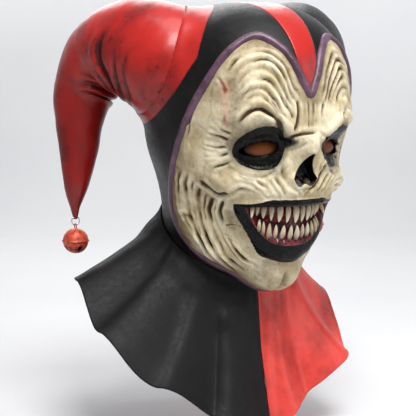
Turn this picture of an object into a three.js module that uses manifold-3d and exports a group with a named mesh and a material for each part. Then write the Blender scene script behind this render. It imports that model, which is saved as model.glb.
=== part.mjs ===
// A full-head carnival mask: a skull-faced jester of cast latex with a two-horned hood,
// a rolled welt round the face, rows of pointed teeth, a draped two-colour collar and
// a jingle bell on a wire ring at the tip of each horn.
// Millimetres. +X is the wearer's left, -Y the way the face looks, +Z up.
// The origin is inside the crown, where the top of the wearer's head meets the mask.
import * as THREE from "three";
import { mergeVertices } from "three/addons/utils/BufferGeometryUtils.js";
import Module from "manifold-3d";

const wasm = await Module();
wasm.setup();

// Driving sizes. Heights count up from the underside of the chin.
const CROWN_HEIGHT = 280; // top of the hood
const WALL = 3; // cast latex, measured towards the heart of the head
const GAP = 0.3; // clearance between neighbouring pieces
const HEART = { out: 0, front: 0, height: 140 }; // every wall of the head faces this point
const WELT = { radius: 3.4, sink: 1, tuck: 0.6, keep: 0.39, sides: 5, steps: 60 };
const COLLAR = { wall: 2.2, axisBack: 45, columns: 15, rows: 6, seamTurn: 0.15, lap: 5, probe: 0.2 };
const HORN = { wall: 2.5, sill: 2, endRound: 0.6, sides: 11, steps: 17, hollowSteps: 14, seamSteps: 4 };
const TIP = { out: 144.5, back: 97.5 };
const RING = { radius: 4.2, wire: 0.55, hole: 1.4, drill: 20, height: 66.4, sides: 5, steps: 12 };
const SHANK = { radius: 2.4, wire: 0.55, height: 56.85 };
const BELL = {
  height: 42,
  radius: 12.9,
  wall: 0.9,
  rimReach: 1.2,
  rimThick: 1.1,
  slotWidth: 2,
  holeRadius: 2.3,
  sides: 10,
};
const BELL_SHARES = { slotReach: 0.82, slotDrop: 1.1, holeDrop: 0.52 }; // of the bell's radius

// Rounded masses that are blended into the head, the first one being the start. Plan shapes the
// outline seen from above and power the one seen from the front, with 2 being an ellipse.
const ROUND = { plan: 2, power: 2 };
const MASSES = [
  { name: "skull", out: 0, front: -5, height: 177, wide: 98, deep: 114, tall: 103, power: 2.5, blend: 0 },
  { name: "face", out: 0, front: 5, height: 97, wide: 82, deep: 84, tall: 90, plan: 1.85, blend: 22 },
  { name: "neck", out: 0, front: -45, height: 20, wide: 69, deep: 52, tall: 220, blend: 18 },
  { name: "muzzle", out: 0, front: 40, height: 77, wide: 38, deep: 49, tall: 46, blend: 14 },
  { name: "chin", out: 0, front: 42, height: 21, wide: 28, deep: 28, tall: 21, blend: 14 },
  { name: "cheekbone", out: 45, front: 54, height: 110, wide: 19, deep: 18, tall: 14, blend: 12 },
  { name: "brow", out: 27, front: 81, height: 168, wide: 26, deep: 20, tall: 15, blend: 14 },
  { name: "nose", out: 0, front: 98, height: 146, wide: 11, deep: 21, tall: 16, blend: 8 },
  { name: "upper lip", out: 0, front: 76, height: 106, wide: 28, deep: 20, tall: 13, blend: 12 },
].map((mass) => ({ ...ROUND, ...mass }));
// Rounded hollows that are blended out of it.
const HOLLOWS = [
  { name: "temple", out: 92, front: 84, height: 134, wide: 34, deep: 34, tall: 32, blend: 16 },
  { name: "cheek hollow", out: 82, front: 52, height: 62, wide: 34, deep: 36, tall: 36, blend: 20 },
  { name: "nose root", out: 0, front: 124, height: 161, wide: 16, deep: 12, tall: 7, blend: 6 },
].map((hollow) => ({ ...ROUND, ...hollow }));

// Features drawn on the front of the face, as seen straight on.
const MOUTH = { half: 47, top: 87, topDip: 1, bottom: 48, bow: 3, depth: 11, edge: 4 };
const LIP = { upper: 8, lower: 17, corner: 6, rise: 4, spread: 0.75 };
const EYE = { out: 40, height: 141, wide: 24, tall: 21, sink: 13, lidRise: 5, slant: 0.1 };
const SOCKET_SHARES = { inner: 0.55, outer: 1.1, lid: 0.55, lidWide: 0.22 };
const SLIT = { wide: 15.5, tall: 7 };
const LENS = { sink: 1, margin: 3, thick: 5, cover: 12 };
const NOSE_HOLE = { top: 137, bottom: 107, halfBottom: 13, floor: 88 };
const NOSE_SHARES = { shoulder: 0.5, flank: 1.1, lobe: 0.5, dip: 0.3, notch: 0.25 }; // of its half-width
const CHIN_CLEFT = { height: 14, wide: 3.2, tall: 11, depth: 4 };

// The welt's line round the face, from the peak on the forehead to under the chin.
const WELT_LINE = [
  { at: "peak", out: 0, front: 105, height: 190 },
  { at: "peak flank", out: 7, front: 100, height: 201 },
  { at: "arch rise", out: 20, front: 90, height: 228 },
  { at: "arch top", out: 38, front: 74, height: 240 },
  { at: "arch shoulder", out: 58, front: 66, height: 229 },
  { at: "temple", out: 78, front: 56, height: 203 },
  { at: "eye side", out: 91, front: 34, height: 163 },
  { at: "cheek side", out: 88, front: 6, height: 116 },
  { at: "jaw angle", out: 76, front: -16, height: 68 },
  { at: "jaw", out: 66, front: -2, height: 38 },
  { at: "jaw front", out: 40, front: 18, height: 25 },
  { at: "under chin", out: 0, front: 36, height: 8 },
];

// The horn's middle line and radius, from inside the crown to the tip.
const HORN_LINE = [
  { at: "root", out: 45, back: 16, height: 198, radius: 56 },
  { at: "seam", out: 71, back: 30, height: 219, radius: 58 },
  { at: "shoulder", out: 94, back: 63, height: 234, radius: 52 },
  { at: "bend", out: 112, back: 98, height: 226, radius: 41 },
  { at: "drop", out: 125, back: 115, height: 194, radius: 32 },
  { at: "upper hang", out: 132, back: 112, height: 163, radius: 24.5 },
  { at: "middle hang", out: 137, back: 105, height: 130, radius: 18.5 },
  { at: "lower hang", out: 143, back: 99, height: 95, radius: 11.5 },
  { at: "neck of tip", out: 144.5, back: 98, height: 76, radius: 4.8 },
  { at: "tip", out: 144.5, back: 97.5, height: 64, radius: 1.9 },
];
const BEND = { toward: new THREE.Vector3(0, -0.5, -0.8), none: 0.1, full: 0.8 }; // the side that creases
const HORN_CREASES = [
  { along: 0.34, depth: 3, wide: 0.03 },
  { along: 0.5, depth: 3, wide: 0.025 },
  { along: 0.6, depth: 2, wide: 0.02 },
];

// The collar round the neck. Turn is the direction from the front towards the wearer's right,
// reach and height are those of the hem, and flare says how late the wall leaves the neck.
const COLLAR_HEM = [
  { at: "front", turn: 0, reach: 90, height: -143, flare: 1.5 },
  { at: "right breast", turn: 35, reach: 112, height: -118, flare: 1.6 },
  { at: "right chest", turn: 55, reach: 150, height: -84, flare: 1.6 },
  { at: "right shoulder front", turn: 78, reach: 160, height: -36, flare: 1.5 },
  { at: "right shoulder", turn: 98, reach: 158, height: 6, flare: 1.25 },
  { at: "right back", turn: 140, reach: 120, height: -10, flare: 1.4 },
  { at: "back", turn: 180, reach: 95, height: -30, flare: 1.4 },
  { at: "left back", turn: 220, reach: 112, height: -20, flare: 1.6 },
  { at: "left shoulder", turn: 265, reach: 126, height: -22, flare: 1.8 },
  { at: "left chest", turn: 298, reach: 124, height: -78, flare: 1.8 },
  { at: "left breast", turn: 330, reach: 92, height: -116, flare: 1.6 },
];
const NECK_RING = { side: 67, front: 60, back: 58, heightMid: 54, heightSwing: 42 };
const COLLAR_FOLDS = [
  { turn: 22, depth: 5, wide: 9 },
  { turn: 48, depth: -4, wide: 8 },
  { turn: 66, depth: 4, wide: 8 },
  { turn: 306, depth: 6, wide: 7 },
  { turn: 322, depth: -5, wide: 8 },
  { turn: 342, depth: 4, wide: 8 },
];

// Teeth along the gums: place of the outermost ones, heights in the middle and what they gain
// towards the corners, and the width of the middle ones.
const UPPER_TEETH = { count: 13, spread: 41, root: 86, rootRise: -1, tip: 65, tipRise: 11, wide: 7.4 };
const LOWER_TEETH = { count: 12, spread: 34, root: 48, rootRise: 12, tip: 63, tipRise: 6.5, wide: 6.8 };
const TOOTH = {
  sides: 5,
  thick: 5,
  sink: 1.2,
  trim: 12,
  lean: 2.5,
  arc: 1.15, // half the arch that the teeth stand round, in radians
  sizes: [1.06, 0.86], // every second one is smaller
  narrowing: 0.38, // share of the width lost at the corners
  profile: [[0, 0], [0.5, 0], [0.46, 0.5], [0, 1]], // share of the width, share of the length
};

const COLOURS = {
  bone: ["#cfc29f", 0.55, 0],
  black: ["#17171a", 0.6, 0],
  red: ["#b8261d", 0.5, 0],
  purple: ["#4d2b42", 0.5, 0],
  tooth: ["#d8cbb0", 0.35, 0],
  amber: ["#6b3a12", 0.25, 0],
  bellRed: ["#b23a22", 0.4, 0.3],
  wire: ["#c9c9c9", 0.3, 0.9],
};
const finishes = Object.fromEntries(
  Object.entries(COLOURS).map(([name, [color, roughness, metalness]]) => [
    name,
    new THREE.MeshStandardMaterial({ name, color, roughness, metalness }),
  ]),
);

// Small maths helpers.
const clamp = (v, lo, hi) => Math.min(hi, Math.max(lo, v));
const ease = (lo, hi, v) => {
  const t = clamp((v - lo) / (hi - lo), 0, 1);
  return t * t * (3 - 2 * t);
};
const bump = (v, width) => Math.exp(-((v / width) ** 2));
const place = ({ out, front, height }) => new THREE.Vector3(out, -front, height);
const heart = place(HEART);

// Distance from a point to a rounded mass and its mirror image, negative inside.
function massDistance(mass, p) {
  const x = Math.abs(Math.abs(p.x) - mass.out) / mass.wide;
  const y = Math.abs(p.y + mass.front) / mass.deep;
  const z = Math.abs(p.z - mass.height) / mass.tall;
  const level = (x ** mass.plan + y ** mass.plan) ** (1 / mass.plan);
  const size = (level ** mass.power + z ** mass.power) ** (1 / mass.power);
  return (size - 1) * Math.min(mass.wide, mass.deep, mass.tall);
}
function blendMin(a, b, k) {
  if (!k) return Math.min(a, b);
  const h = Math.max(k - Math.abs(a - b), 0) / k;
  return Math.min(a, b) - (h * h * k) / 4;
}
function headDistance(p) {
  let d = Infinity;
  for (const mass of MASSES) d = blendMin(d, massDistance(mass, p), mass.blend);
  for (const hollow of HOLLOWS) d = -blendMin(-d, massDistance(hollow, p), hollow.blend);
  return d;
}

// How far a point of the front lies inside the mouth's opening.
function mouthInside(x, z) {
  const a = Math.abs(x) / MOUTH.half;
  const top = MOUTH.top - MOUTH.topDip * a * a;
  const rise = MOUTH.top - MOUTH.topDip - MOUTH.bottom;
  const bottom = MOUTH.bottom + rise * a ** MOUTH.bow;
  const slope = (rise * MOUTH.bow * a ** (MOUTH.bow - 1)) / MOUTH.half;
  return Math.min(top - z, (z - bottom) / Math.hypot(1, slope));
}
// The eye socket's ring, as 1 on its outline and less inside.
function eyeRing(x, z) {
  const a = Math.abs(x) - EYE.out;
  const b = z - EYE.height + EYE.slant * a;
  return Math.hypot(a / EYE.wide, b / EYE.tall);
}
// How far the features stand in front of the blended head at a point of its front.
function faceRelief(x, z) {
  const m = mouthInside(x, z);
  const below = z < (MOUTH.top + MOUTH.bottom) / 2;
  const lowerLip = LIP.corner + (LIP.lower - LIP.corner) * bump(x, MOUTH.half * LIP.spread);
  const lipWidth = below ? lowerLip : LIP.upper;
  const lip = m < 0 && m > -lipWidth ? LIP.rise * Math.sin((Math.PI * -m) / lipWidth) : 0;
  const ring = eyeRing(x, z);
  const { inner, outer, lid, lidWide } = SOCKET_SHARES;
  const socket = EYE.lidRise * bump(ring - lid, lidWide) - EYE.sink * (1 - ease(inner, outer, ring));
  const cleftAcross = CHIN_CLEFT.depth * bump(x, CHIN_CLEFT.wide);
  const cleft = cleftAcross * bump(z - CHIN_CLEFT.height, CHIN_CLEFT.tall);
  return lip - MOUTH.depth * ease(0, MOUTH.edge, m) + socket - cleft;
}

// Where a line from a start leaves the blended head, found by halving.
const HALVINGS = 32;
function leaves(start, direction, near, far) {
  for (let step = 0; step < HALVINGS; step++) {
    const middle = (near + far) / 2;
    if (headDistance(start.clone().addScaledVector(direction, middle)) < 0) near = middle;
    else far = middle;
  }
  return near;
}
// The head's outer surface, along a direction from its heart. The features fade out at the sides.
const SEARCH = { near: 10, far: 330 };
const FEATURE_FADE = { none: -10, full: -30 };
function surfaceRadius(direction) {
  const radius = leaves(heart, direction, SEARCH.near, SEARCH.far);
  const p = heart.clone().addScaledVector(direction, radius);
  return radius + ease(FEATURE_FADE.none, FEATURE_FADE.full, p.y) * faceRelief(p.x, p.z);
}
const onHead = (direction) => heart.clone().addScaledVector(direction, surfaceRadius(direction));

// Manifold solids from three.js geometry, and back.
function solidFrom(geometry) {
  const bare = geometry.index ? geometry.toNonIndexed() : geometry.clone();
  bare.deleteAttribute("normal");
  bare.deleteAttribute("uv");
  const merged = mergeVertices(bare, 1e-4);
  return new wasm.Manifold(
    new wasm.Mesh({
      numProp: 3,
      vertProperties: new Float32Array(merged.attributes.position.array),
      triVerts: new Uint32Array(merged.index.array),
    }),
  );
}
function geometryFrom(solid) {
  const mesh = solid.getMesh();
  const geometry = new THREE.BufferGeometry();
  geometry.setAttribute("position", new THREE.BufferAttribute(new Float32Array(mesh.vertProperties), 3));
  geometry.setIndex(new THREE.BufferAttribute(new Uint32Array(mesh.triVerts), 1));
  geometry.computeVertexNormals();
  return geometry;
}
const largest = (solid) => solid.decompose().reduce((a, b) => (b.volume() > a.volume() ? b : a));

// A closed wall from two like grids of points, outer and inner. A closed grid joins its last
// column to its first, and a pole is a first row that is one point.
function wallGeometry(outer, inner, closed) {
  const rows = outer.length;
  const columns = outer[0].length;
  const points = [...outer.flat(), ...inner.flat()];
  const index = (layer, r, c) => layer * rows * columns + r * columns + (c % columns);
  const faces = [];
  const quad = (a, b, c, d) => {
    const straight = points[a].distanceTo(points[c]) < points[b].distanceTo(points[d]);
    if (straight) faces.push([a, b, c], [a, c, d]);
    else faces.push([a, b, d], [b, c, d]);
  };
  const last = rows - 1;
  const across = closed ? columns : columns - 1;
  for (let r = 0; r + 1 < rows; r++)
    for (let c = 0; c < across; c++) {
      quad(index(0, r, c), index(0, r + 1, c), index(0, r + 1, c + 1), index(0, r, c + 1));
      quad(index(1, r, c), index(1, r, c + 1), index(1, r + 1, c + 1), index(1, r + 1, c));
    }
  for (let c = 0; c < across; c++) {
    quad(index(0, 0, c), index(0, 0, c + 1), index(1, 0, c + 1), index(1, 0, c));
    quad(index(0, last, c + 1), index(0, last, c), index(1, last, c), index(1, last, c + 1));
  }
  if (!closed)
    for (let r = 0; r + 1 < rows; r++) {
      quad(index(0, r + 1, 0), index(0, r, 0), index(1, r, 0), index(1, r + 1, 0));
      quad(index(0, r, across), index(0, r + 1, across), index(1, r + 1, across), index(1, r, across));
    }
  const flat = faces
    .filter(([a, b, c]) => {
      const [p, q, s] = [points[a], points[b], points[c]];
      return p.distanceTo(q) > 1e-6 && q.distanceTo(s) > 1e-6 && s.distanceTo(p) > 1e-6;
    })
    .flatMap((face) => face.flatMap((i) => points[i].toArray()));
  const geometry = new THREE.BufferGeometry();
  geometry.setAttribute("position", new THREE.Float32BufferAttribute(flat, 3));
  return geometry;
}

// The welt's closed line and the edges that face and hood keep on either side of it.
const weltAnchors = [
  ...WELT_LINE.map(({ out, front, height }) => place({ out: -out, front, height })),
  ...WELT_LINE.slice(1, -1).reverse().map(place),
];
const weltCurve = new THREE.CatmullRomCurve3(weltAnchors, true, "centripetal");
const directionOf = (p) => p.clone().sub(heart).normalize();
const onWelt = (t) => onHead(directionOf(weltCurve.getPointAt(((t % 1) + 1) % 1)));
const SMALL_TURN = 0.002;
function besideWelt(t, shift) {
  const p = onWelt(t);
  const tangent = onWelt(t + SMALL_TURN).sub(onWelt(t - SMALL_TURN)).normalize();
  const sideways = tangent.cross(directionOf(p)).normalize();
  return directionOf(p.addScaledVector(sideways, shift));
}
const EDGE = WELT.radius - WELT.tuck;

// Points of the head's wall: a direction from the heart with the outer surface's radius along it.
const wallPoint = (direction) => ({ direction, radius: surfaceRadius(direction) });
const lifted = (grid, lift) =>
  grid.map((row) => row.map((w) => heart.clone().addScaledVector(w.direction, w.radius + lift)));
const CORE = 5; // radius left open round the heart in a filled head
const filled = (grid) =>
  grid.map((row) => row.map((w) => heart.clone().addScaledVector(w.direction, CORE)));

// The face: rings from the middle of the mouth out over the lips to the welt.
const FACE = { columns: 40, outerRows: 9, mouthMiddle: 68, cornerShare: 0.3, cornerBow: 0.8 };
const MOUTH_RINGS = [0, 0.55, 0.86, 0.97, 1]; // shares of the mouth's own outline
const LIP_RINGS = [0.5, 1]; // shares of the lip's width
const AHEAD = new THREE.Vector3(0, -1, 0);
function frontDirection(x, z) {
  const start = new THREE.Vector3(x, 0, z);
  return directionOf(start.addScaledVector(AHEAD, leaves(start, AHEAD, SEARCH.near, SEARCH.far)));
}
// A point of the mouth's outline; share 0 is the middle of the upper lip, 0.5 of the lower one.
function mouthOutline(share) {
  const side = share < 0.5 ? -1 : 1;
  const half = share < 0.5 ? share : 1 - share;
  const upper = half < FACE.cornerShare;
  const below = (half - FACE.cornerShare) / (0.5 - FACE.cornerShare);
  const a = upper ? half / FACE.cornerShare : Math.cos((below * Math.PI) / 2) ** FACE.cornerBow;
  const rise = MOUTH.top - MOUTH.topDip - MOUTH.bottom;
  const z = upper ? MOUTH.top - MOUTH.topDip * a * a : MOUTH.bottom + rise * a ** MOUTH.bow;
  return new THREE.Vector2(side * a * MOUTH.half, z);
}
function faceColumn(share) {
  const middle = new THREE.Vector2(0, FACE.mouthMiddle);
  const edge = mouthOutline(share);
  const column = MOUTH_RINGS.map((f) => middle.clone().lerp(edge, f));
  const away = edge.clone().sub(middle).normalize();
  const width = edge.y < FACE.mouthMiddle ? LIP.lower : LIP.upper;
  for (const f of LIP_RINGS) column.push(edge.clone().addScaledVector(away, f * width));
  const directions = column.map((p) => frontDirection(p.x, p.y));
  const foot = directions.at(-1);
  const rim = besideWelt(share, -EDGE);
  for (let r = 1; r <= FACE.outerRows; r++)
    directions.push(foot.clone().lerp(rim, r / FACE.outerRows).normalize());
  return directions.map(wallPoint);
}
const turned = (columns) => columns[0].map((_, r) => columns.map((column) => column[r]));
const faceGrid = turned(
  Array.from({ length: FACE.columns }, (_, c) => faceColumn((c + 0.5) / FACE.columns)),
);

// A prism standing across the front of the face, from one distance to another.
const CUT_REACH = { from: 40, to: 150 };
function frontPrism(outline, from, to) {
  const settings = { depth: to - from, bevelEnabled: false, curveSegments: 6 };
  const prism = new THREE.ExtrudeGeometry(outline, settings);
  prism.rotateX(Math.PI / 2);
  prism.translate(0, -from, 0);
  return prism;
}
function eyeCutter(side) {
  const outline = new THREE.Shape();
  outline.absellipse(0, 0, SLIT.wide, SLIT.tall, 0, Math.PI * 2);
  const prism = frontPrism(outline, CUT_REACH.from, CUT_REACH.to);
  prism.rotateY(side * Math.atan(EYE.slant));
  prism.translate(side * EYE.out, 0, EYE.height);
  return solidFrom(prism);
}
// The nose is an open pocket with a heart-shaped mouth, its two lobes at the bottom.
function nosePocket(grow) {
  const outline = new THREE.Shape();
  const half = NOSE_HOLE.halfBottom + grow;
  const top = NOSE_HOLE.top + grow;
  const bottom = NOSE_HOLE.bottom - grow;
  const { shoulder, flank, lobe, dip, notch } = NOSE_SHARES;
  const [flankZ, lobeZ, notchZ] = [flank, lobe, notch].map((share) => bottom + half * share);
  outline.moveTo(0, top);
  outline.bezierCurveTo(half * shoulder, top, half, flankZ, half, lobeZ);
  outline.bezierCurveTo(half, bottom, half * dip, bottom, 0, notchZ);
  outline.bezierCurveTo(-half * dip, bottom, -half, bottom, -half, lobeZ);
  outline.bezierCurveTo(-half, flankZ, -half * shoulder, top, 0, top);
  return solidFrom(frontPrism(outline, NOSE_HOLE.floor - grow, CUT_REACH.to));
}
function makeFace() {
  const skin = solidFrom(wallGeometry(lifted(faceGrid, 0), lifted(faceGrid, -WALL), true));
  const behind = solidFrom(wallGeometry(lifted(faceGrid, -WALL / 2), filled(faceGrid), true));
  let solid = skin.add(nosePocket(WALL).intersect(behind)).subtract(nosePocket(0));
  for (const side of [-1, 1]) solid = solid.subtract(eyeCutter(side));
  return largest(solid);
}

// An amber lens lies behind each eye's slit, against the inside of the face.
function makeLens(side) {
  const { direction, radius } = wallPoint(frontDirection(side * EYE.out, EYE.height));
  const dome = new THREE.SphereGeometry(1, 10, 6);
  dome.scale(SLIT.wide + LENS.margin, LENS.thick, SLIT.tall + LENS.margin);
  dome.rotateZ(Math.atan2(direction.x, -direction.y));
  dome.translate(...heart.clone().addScaledVector(direction, radius - WALL - LENS.sink));
  const skin = solidFrom(wallGeometry(lifted(faceGrid, LENS.cover), lifted(faceGrid, -WALL - GAP), true));
  return largest(solidFrom(dome).subtract(skin));
}

// Teeth: tapered pegs that lie on the gum, rooted along the lip and pointing to the middle.
function makeTooth(row, number) {
  const across = (number / (row.count - 1)) * 2 - 1;
  const big = TOOTH.sizes[number % 2];
  const x = (row.spread * Math.sin(across * TOOTH.arc)) / Math.sin(TOOTH.arc);
  const gum = (z) => wallPoint(frontDirection(x, z));
  const at = (w, lift) => heart.clone().addScaledVector(w.direction, w.radius + lift);
  const root = at(gum(row.root + row.rootRise * across * across), -TOOTH.sink);
  const tip = at(gum(row.tip + row.tipRise * across * across), TOOTH.lean + big);
  const width = row.wide * big * (1 - TOOTH.narrowing * Math.abs(across));
  const outline = TOOTH.profile.map(([r, t]) => new THREE.Vector2(r, t));
  const peg = new THREE.LatheGeometry(outline, TOOTH.sides);
  peg.scale(width, root.distanceTo(tip), TOOTH.thick);
  const down = tip.clone().sub(root).normalize();
  const outward = gum(row.tip).direction.clone();
  const sideways = new THREE.Vector3().crossVectors(down, outward).normalize();
  outward.crossVectors(sideways, down);
  peg.applyMatrix4(new THREE.Matrix4().makeBasis(sideways, down, outward).setPosition(root));
  return largest(solidFrom(peg).subtract(faceKeep));
}

// The hood: from the welt over the crown and down to the neck ring.
const HOOD = {
  rows: 9,
  columns: 26,
  stripeHalf: 0.024, // shares of the welt's length
  stripeGap: 0.0012,
  stripeColumns: 4,
  collarGap: 1.003, // how far the collar is kept clear of the hood's lower edge
  over: { side: 0.8, front: 0.12, back: 0.6, tilt: -0.03 }, // the direction that each column passes over
};
const STRIPE_POINT = 7; // how far above the peak's own line the stripe comes to a point
function neckPoint(turn) {
  const c = Math.cos(turn);
  return new THREE.Vector3(
    -NECK_RING.side * Math.sin(turn),
    COLLAR.axisBack - (c > 0 ? NECK_RING.front : NECK_RING.back) * c,
    NECK_RING.heightMid - NECK_RING.heightSwing * c,
  );
}
function hoodRim(t) {
  const signed = t > 0.5 ? t - 1 : t;
  const share = Math.abs(signed) / HOOD.stripeHalf;
  if (share > 1) return besideWelt(t, EDGE);
  const corner = besideWelt(Math.sign(signed) * HOOD.stripeHalf, EDGE);
  const point = onWelt(0);
  point.z += STRIPE_POINT;
  return directionOf(point).lerp(corner, share).normalize();
}
function hoodColumn(t, reach) {
  const turn = 2 * Math.PI * t;
  const rim = hoodRim(t);
  const neck = directionOf(neckPoint(Math.PI - turn));
  const { side, front, back, tilt } = HOOD.over;
  const over = new THREE.Vector3(
    -side * Math.sin(turn),
    front * Math.cos(turn) + back * Math.sin(turn) ** 2 + tilt,
    Math.cos(turn),
  ).normalize();
  const pull = over.multiplyScalar(2).addScaledVector(rim, -0.5).addScaledVector(neck, -0.5);
  return Array.from({ length: HOOD.rows + 1 }, (_, r) => {
    const s = (reach * r) / HOOD.rows;
    const direction = rim.clone().multiplyScalar((1 - s) ** 2);
    direction.addScaledVector(pull, 2 * s * (1 - s)).addScaledVector(neck, s * s);
    return wallPoint(direction.normalize());
  });
}
function hoodGrid(from, to, columns, reach = 1) {
  const column = (_, c) => hoodColumn(from + ((to - from) * c) / columns, reach);
  return turned(Array.from({ length: columns + 1 }, column));
}
const hoodFrom = HOOD.stripeHalf + HOOD.stripeGap;
const hoodWalls = hoodGrid(hoodFrom, 1 - hoodFrom, HOOD.columns);
const hoodLong = hoodGrid(hoodFrom, 1 - hoodFrom, HOOD.columns, HOOD.collarGap);
const stripeWide = 2 * HOOD.stripeHalf;
const stripeLong = hoodGrid(-stripeWide, stripeWide, HOOD.stripeColumns, HOOD.collarGap);
const stripeWalls = hoodGrid(-HOOD.stripeHalf, HOOD.stripeHalf, HOOD.stripeColumns);

// The horns: hollow cones bent back and down, creased on the inside of the bend.
const hornPath = new THREE.CatmullRomCurve3(
  HORN_LINE.map(({ out, back, height }) => new THREE.Vector3(-out, back, height)),
  false,
  "centripetal",
);
const hornFrames = hornPath.computeFrenetFrames(HORN.steps, false);
function hornRadius(share) {
  const place = share * (HORN_LINE.length - 1);
  const row = Math.min(Math.floor(place), HORN_LINE.length - 2);
  return THREE.MathUtils.lerp(HORN_LINE[row].radius, HORN_LINE[row + 1].radius, place - row);
}
function hornRing(step, inset) {
  const along = step / HORN.steps;
  const middle = hornPath.getPointAt(along);
  const radius = hornRadius(hornPath.getUtoTmapping(along)) - inset;
  const crease = HORN_CREASES.reduce((sum, c) => sum + c.depth * bump(along - c.along, c.wide), 0);
  return Array.from({ length: HORN.sides }, (_, k) => {
    const angle = (2 * Math.PI * k) / HORN.sides;
    const away = hornFrames.normals[step].clone().multiplyScalar(Math.cos(angle));
    away.addScaledVector(hornFrames.binormals[step], Math.sin(angle));
    const inside = ease(BEND.none, BEND.full, away.dot(BEND.toward));
    return middle.clone().addScaledVector(away, radius - crease * inside);
  });
}
// A solid through closed rings, with a point closing each end.
function loftGeometry(rings, start, end) {
  const flat = [];
  const push = (...corners) => corners.forEach((p) => flat.push(...p.toArray()));
  const sides = rings[0].length;
  for (let c = 0; c < sides; c++) {
    const d = (c + 1) % sides;
    push(start, rings[0][d], rings[0][c]);
    for (let r = 0; r + 1 < rings.length; r++) {
      push(rings[r][c], rings[r][d], rings[r + 1][d]);
      push(rings[r][c], rings[r + 1][d], rings[r + 1][c]);
    }
    push(end, rings.at(-1)[c], rings.at(-1)[d]);
  }
  const geometry = new THREE.BufferGeometry();
  geometry.setAttribute("position", new THREE.Float32BufferAttribute(flat, 3));
  return geometry;
}
function hornLoft(inset, steps) {
  const rings = Array.from({ length: steps + 1 }, (_, i) => hornRing(i, inset));
  const over = (HORN.wall - inset) * HORN.endRound;
  const start = hornPath.getPointAt(0).addScaledVector(hornFrames.tangents[0], -inset / 2);
  const end = hornPath.getPointAt(steps / HORN.steps).addScaledVector(hornFrames.tangents[steps], over);
  return solidFrom(loftGeometry(rings, start, end));
}
function tipHole() {
  const drill = new THREE.CylinderGeometry(RING.hole, RING.hole, RING.drill, 8);
  drill.rotateZ(Math.PI / 2);
  drill.translate(-TIP.out, TIP.back, RING.height);
  return solidFrom(drill);
}
const hornCore = hornLoft(HORN.wall, HORN.hollowSteps);
const hornSill = hornLoft(HORN.wall + HORN.sill, HORN.seamSteps);
// The same shape on the wearer's other side.
const mirrored = (solid) => solid.mirror([1, 0, 0]);
const hornBody = hornLoft(0, HORN.steps).subtract(hornCore).subtract(tipHole());
const hornBed = solidFrom(wallGeometry(lifted(hoodWalls, GAP), filled(hoodWalls), false));

// The collar: from the neck ring down and out to a hem that differs all round.
const hemCurve = (column) => {
  const rows = [...COLLAR_HEM, { ...COLLAR_HEM[0], turn: 360 }];
  return (turn) => {
    const i = Math.min(rows.findLastIndex((row) => row.turn <= turn), rows.length - 2);
    const share = ease(0, 1, (turn - rows[i].turn) / (rows[i + 1].turn - rows[i].turn));
    return THREE.MathUtils.lerp(rows[i][column], rows[i + 1][column], share);
  };
};
const hem = { reach: hemCurve("reach"), height: hemCurve("height"), flare: hemCurve("flare") };
function collarPoint(turn, v) {
  const angle = THREE.MathUtils.degToRad(turn);
  const neck = onHead(directionOf(neckPoint(angle)));
  const neckReach = Math.hypot(neck.x, neck.y - COLLAR.axisBack);
  const fold = COLLAR_FOLDS.reduce((sum, f) => sum + f.depth * bump(turn - f.turn, f.wide), 0);
  const share = v ** hem.flare(turn);
  const reach = THREE.MathUtils.lerp(neckReach, hem.reach(turn), share) + fold * v;
  const top = neck.z + COLLAR.lap;
  return new THREE.Vector3(
    -reach * Math.sin(angle),
    COLLAR.axisBack - reach * Math.cos(angle),
    THREE.MathUtils.lerp(top, hem.height(turn), v),
  );
}
function makeCollar(from, to) {
  const at = (c, r) => collarPoint(from + ((to - from) * c) / COLLAR.columns, r / COLLAR.rows);
  const { probe } = COLLAR;
  const outer = [];
  const inner = [];
  for (let r = 0; r <= COLLAR.rows; r++) {
    outer.push([]);
    inner.push([]);
    for (let c = 0; c <= COLLAR.columns; c++) {
      const across = at(Math.min(c + probe, COLLAR.columns), r).sub(at(Math.max(c - probe, 0), r));
      const down = at(c, Math.min(r + probe, COLLAR.rows)).sub(at(c, Math.max(r - probe, 0)));
      const away = down.cross(across).normalize();
      if (c === 0 || c === COLLAR.columns) away.setX(0).normalize();
      outer[r].push(at(c, r));
      inner[r].push(at(c, r).addScaledVector(away, -COLLAR.wall));
    }
  }
  let collar = solidFrom(wallGeometry(outer, inner, false));
  for (const grid of [hoodLong, stripeLong])
    collar = collar.subtract(
      solidFrom(wallGeometry(lifted(grid, GAP), lifted(grid, -WALL - GAP), false)),
    );
  return largest(collar);
}

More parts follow.
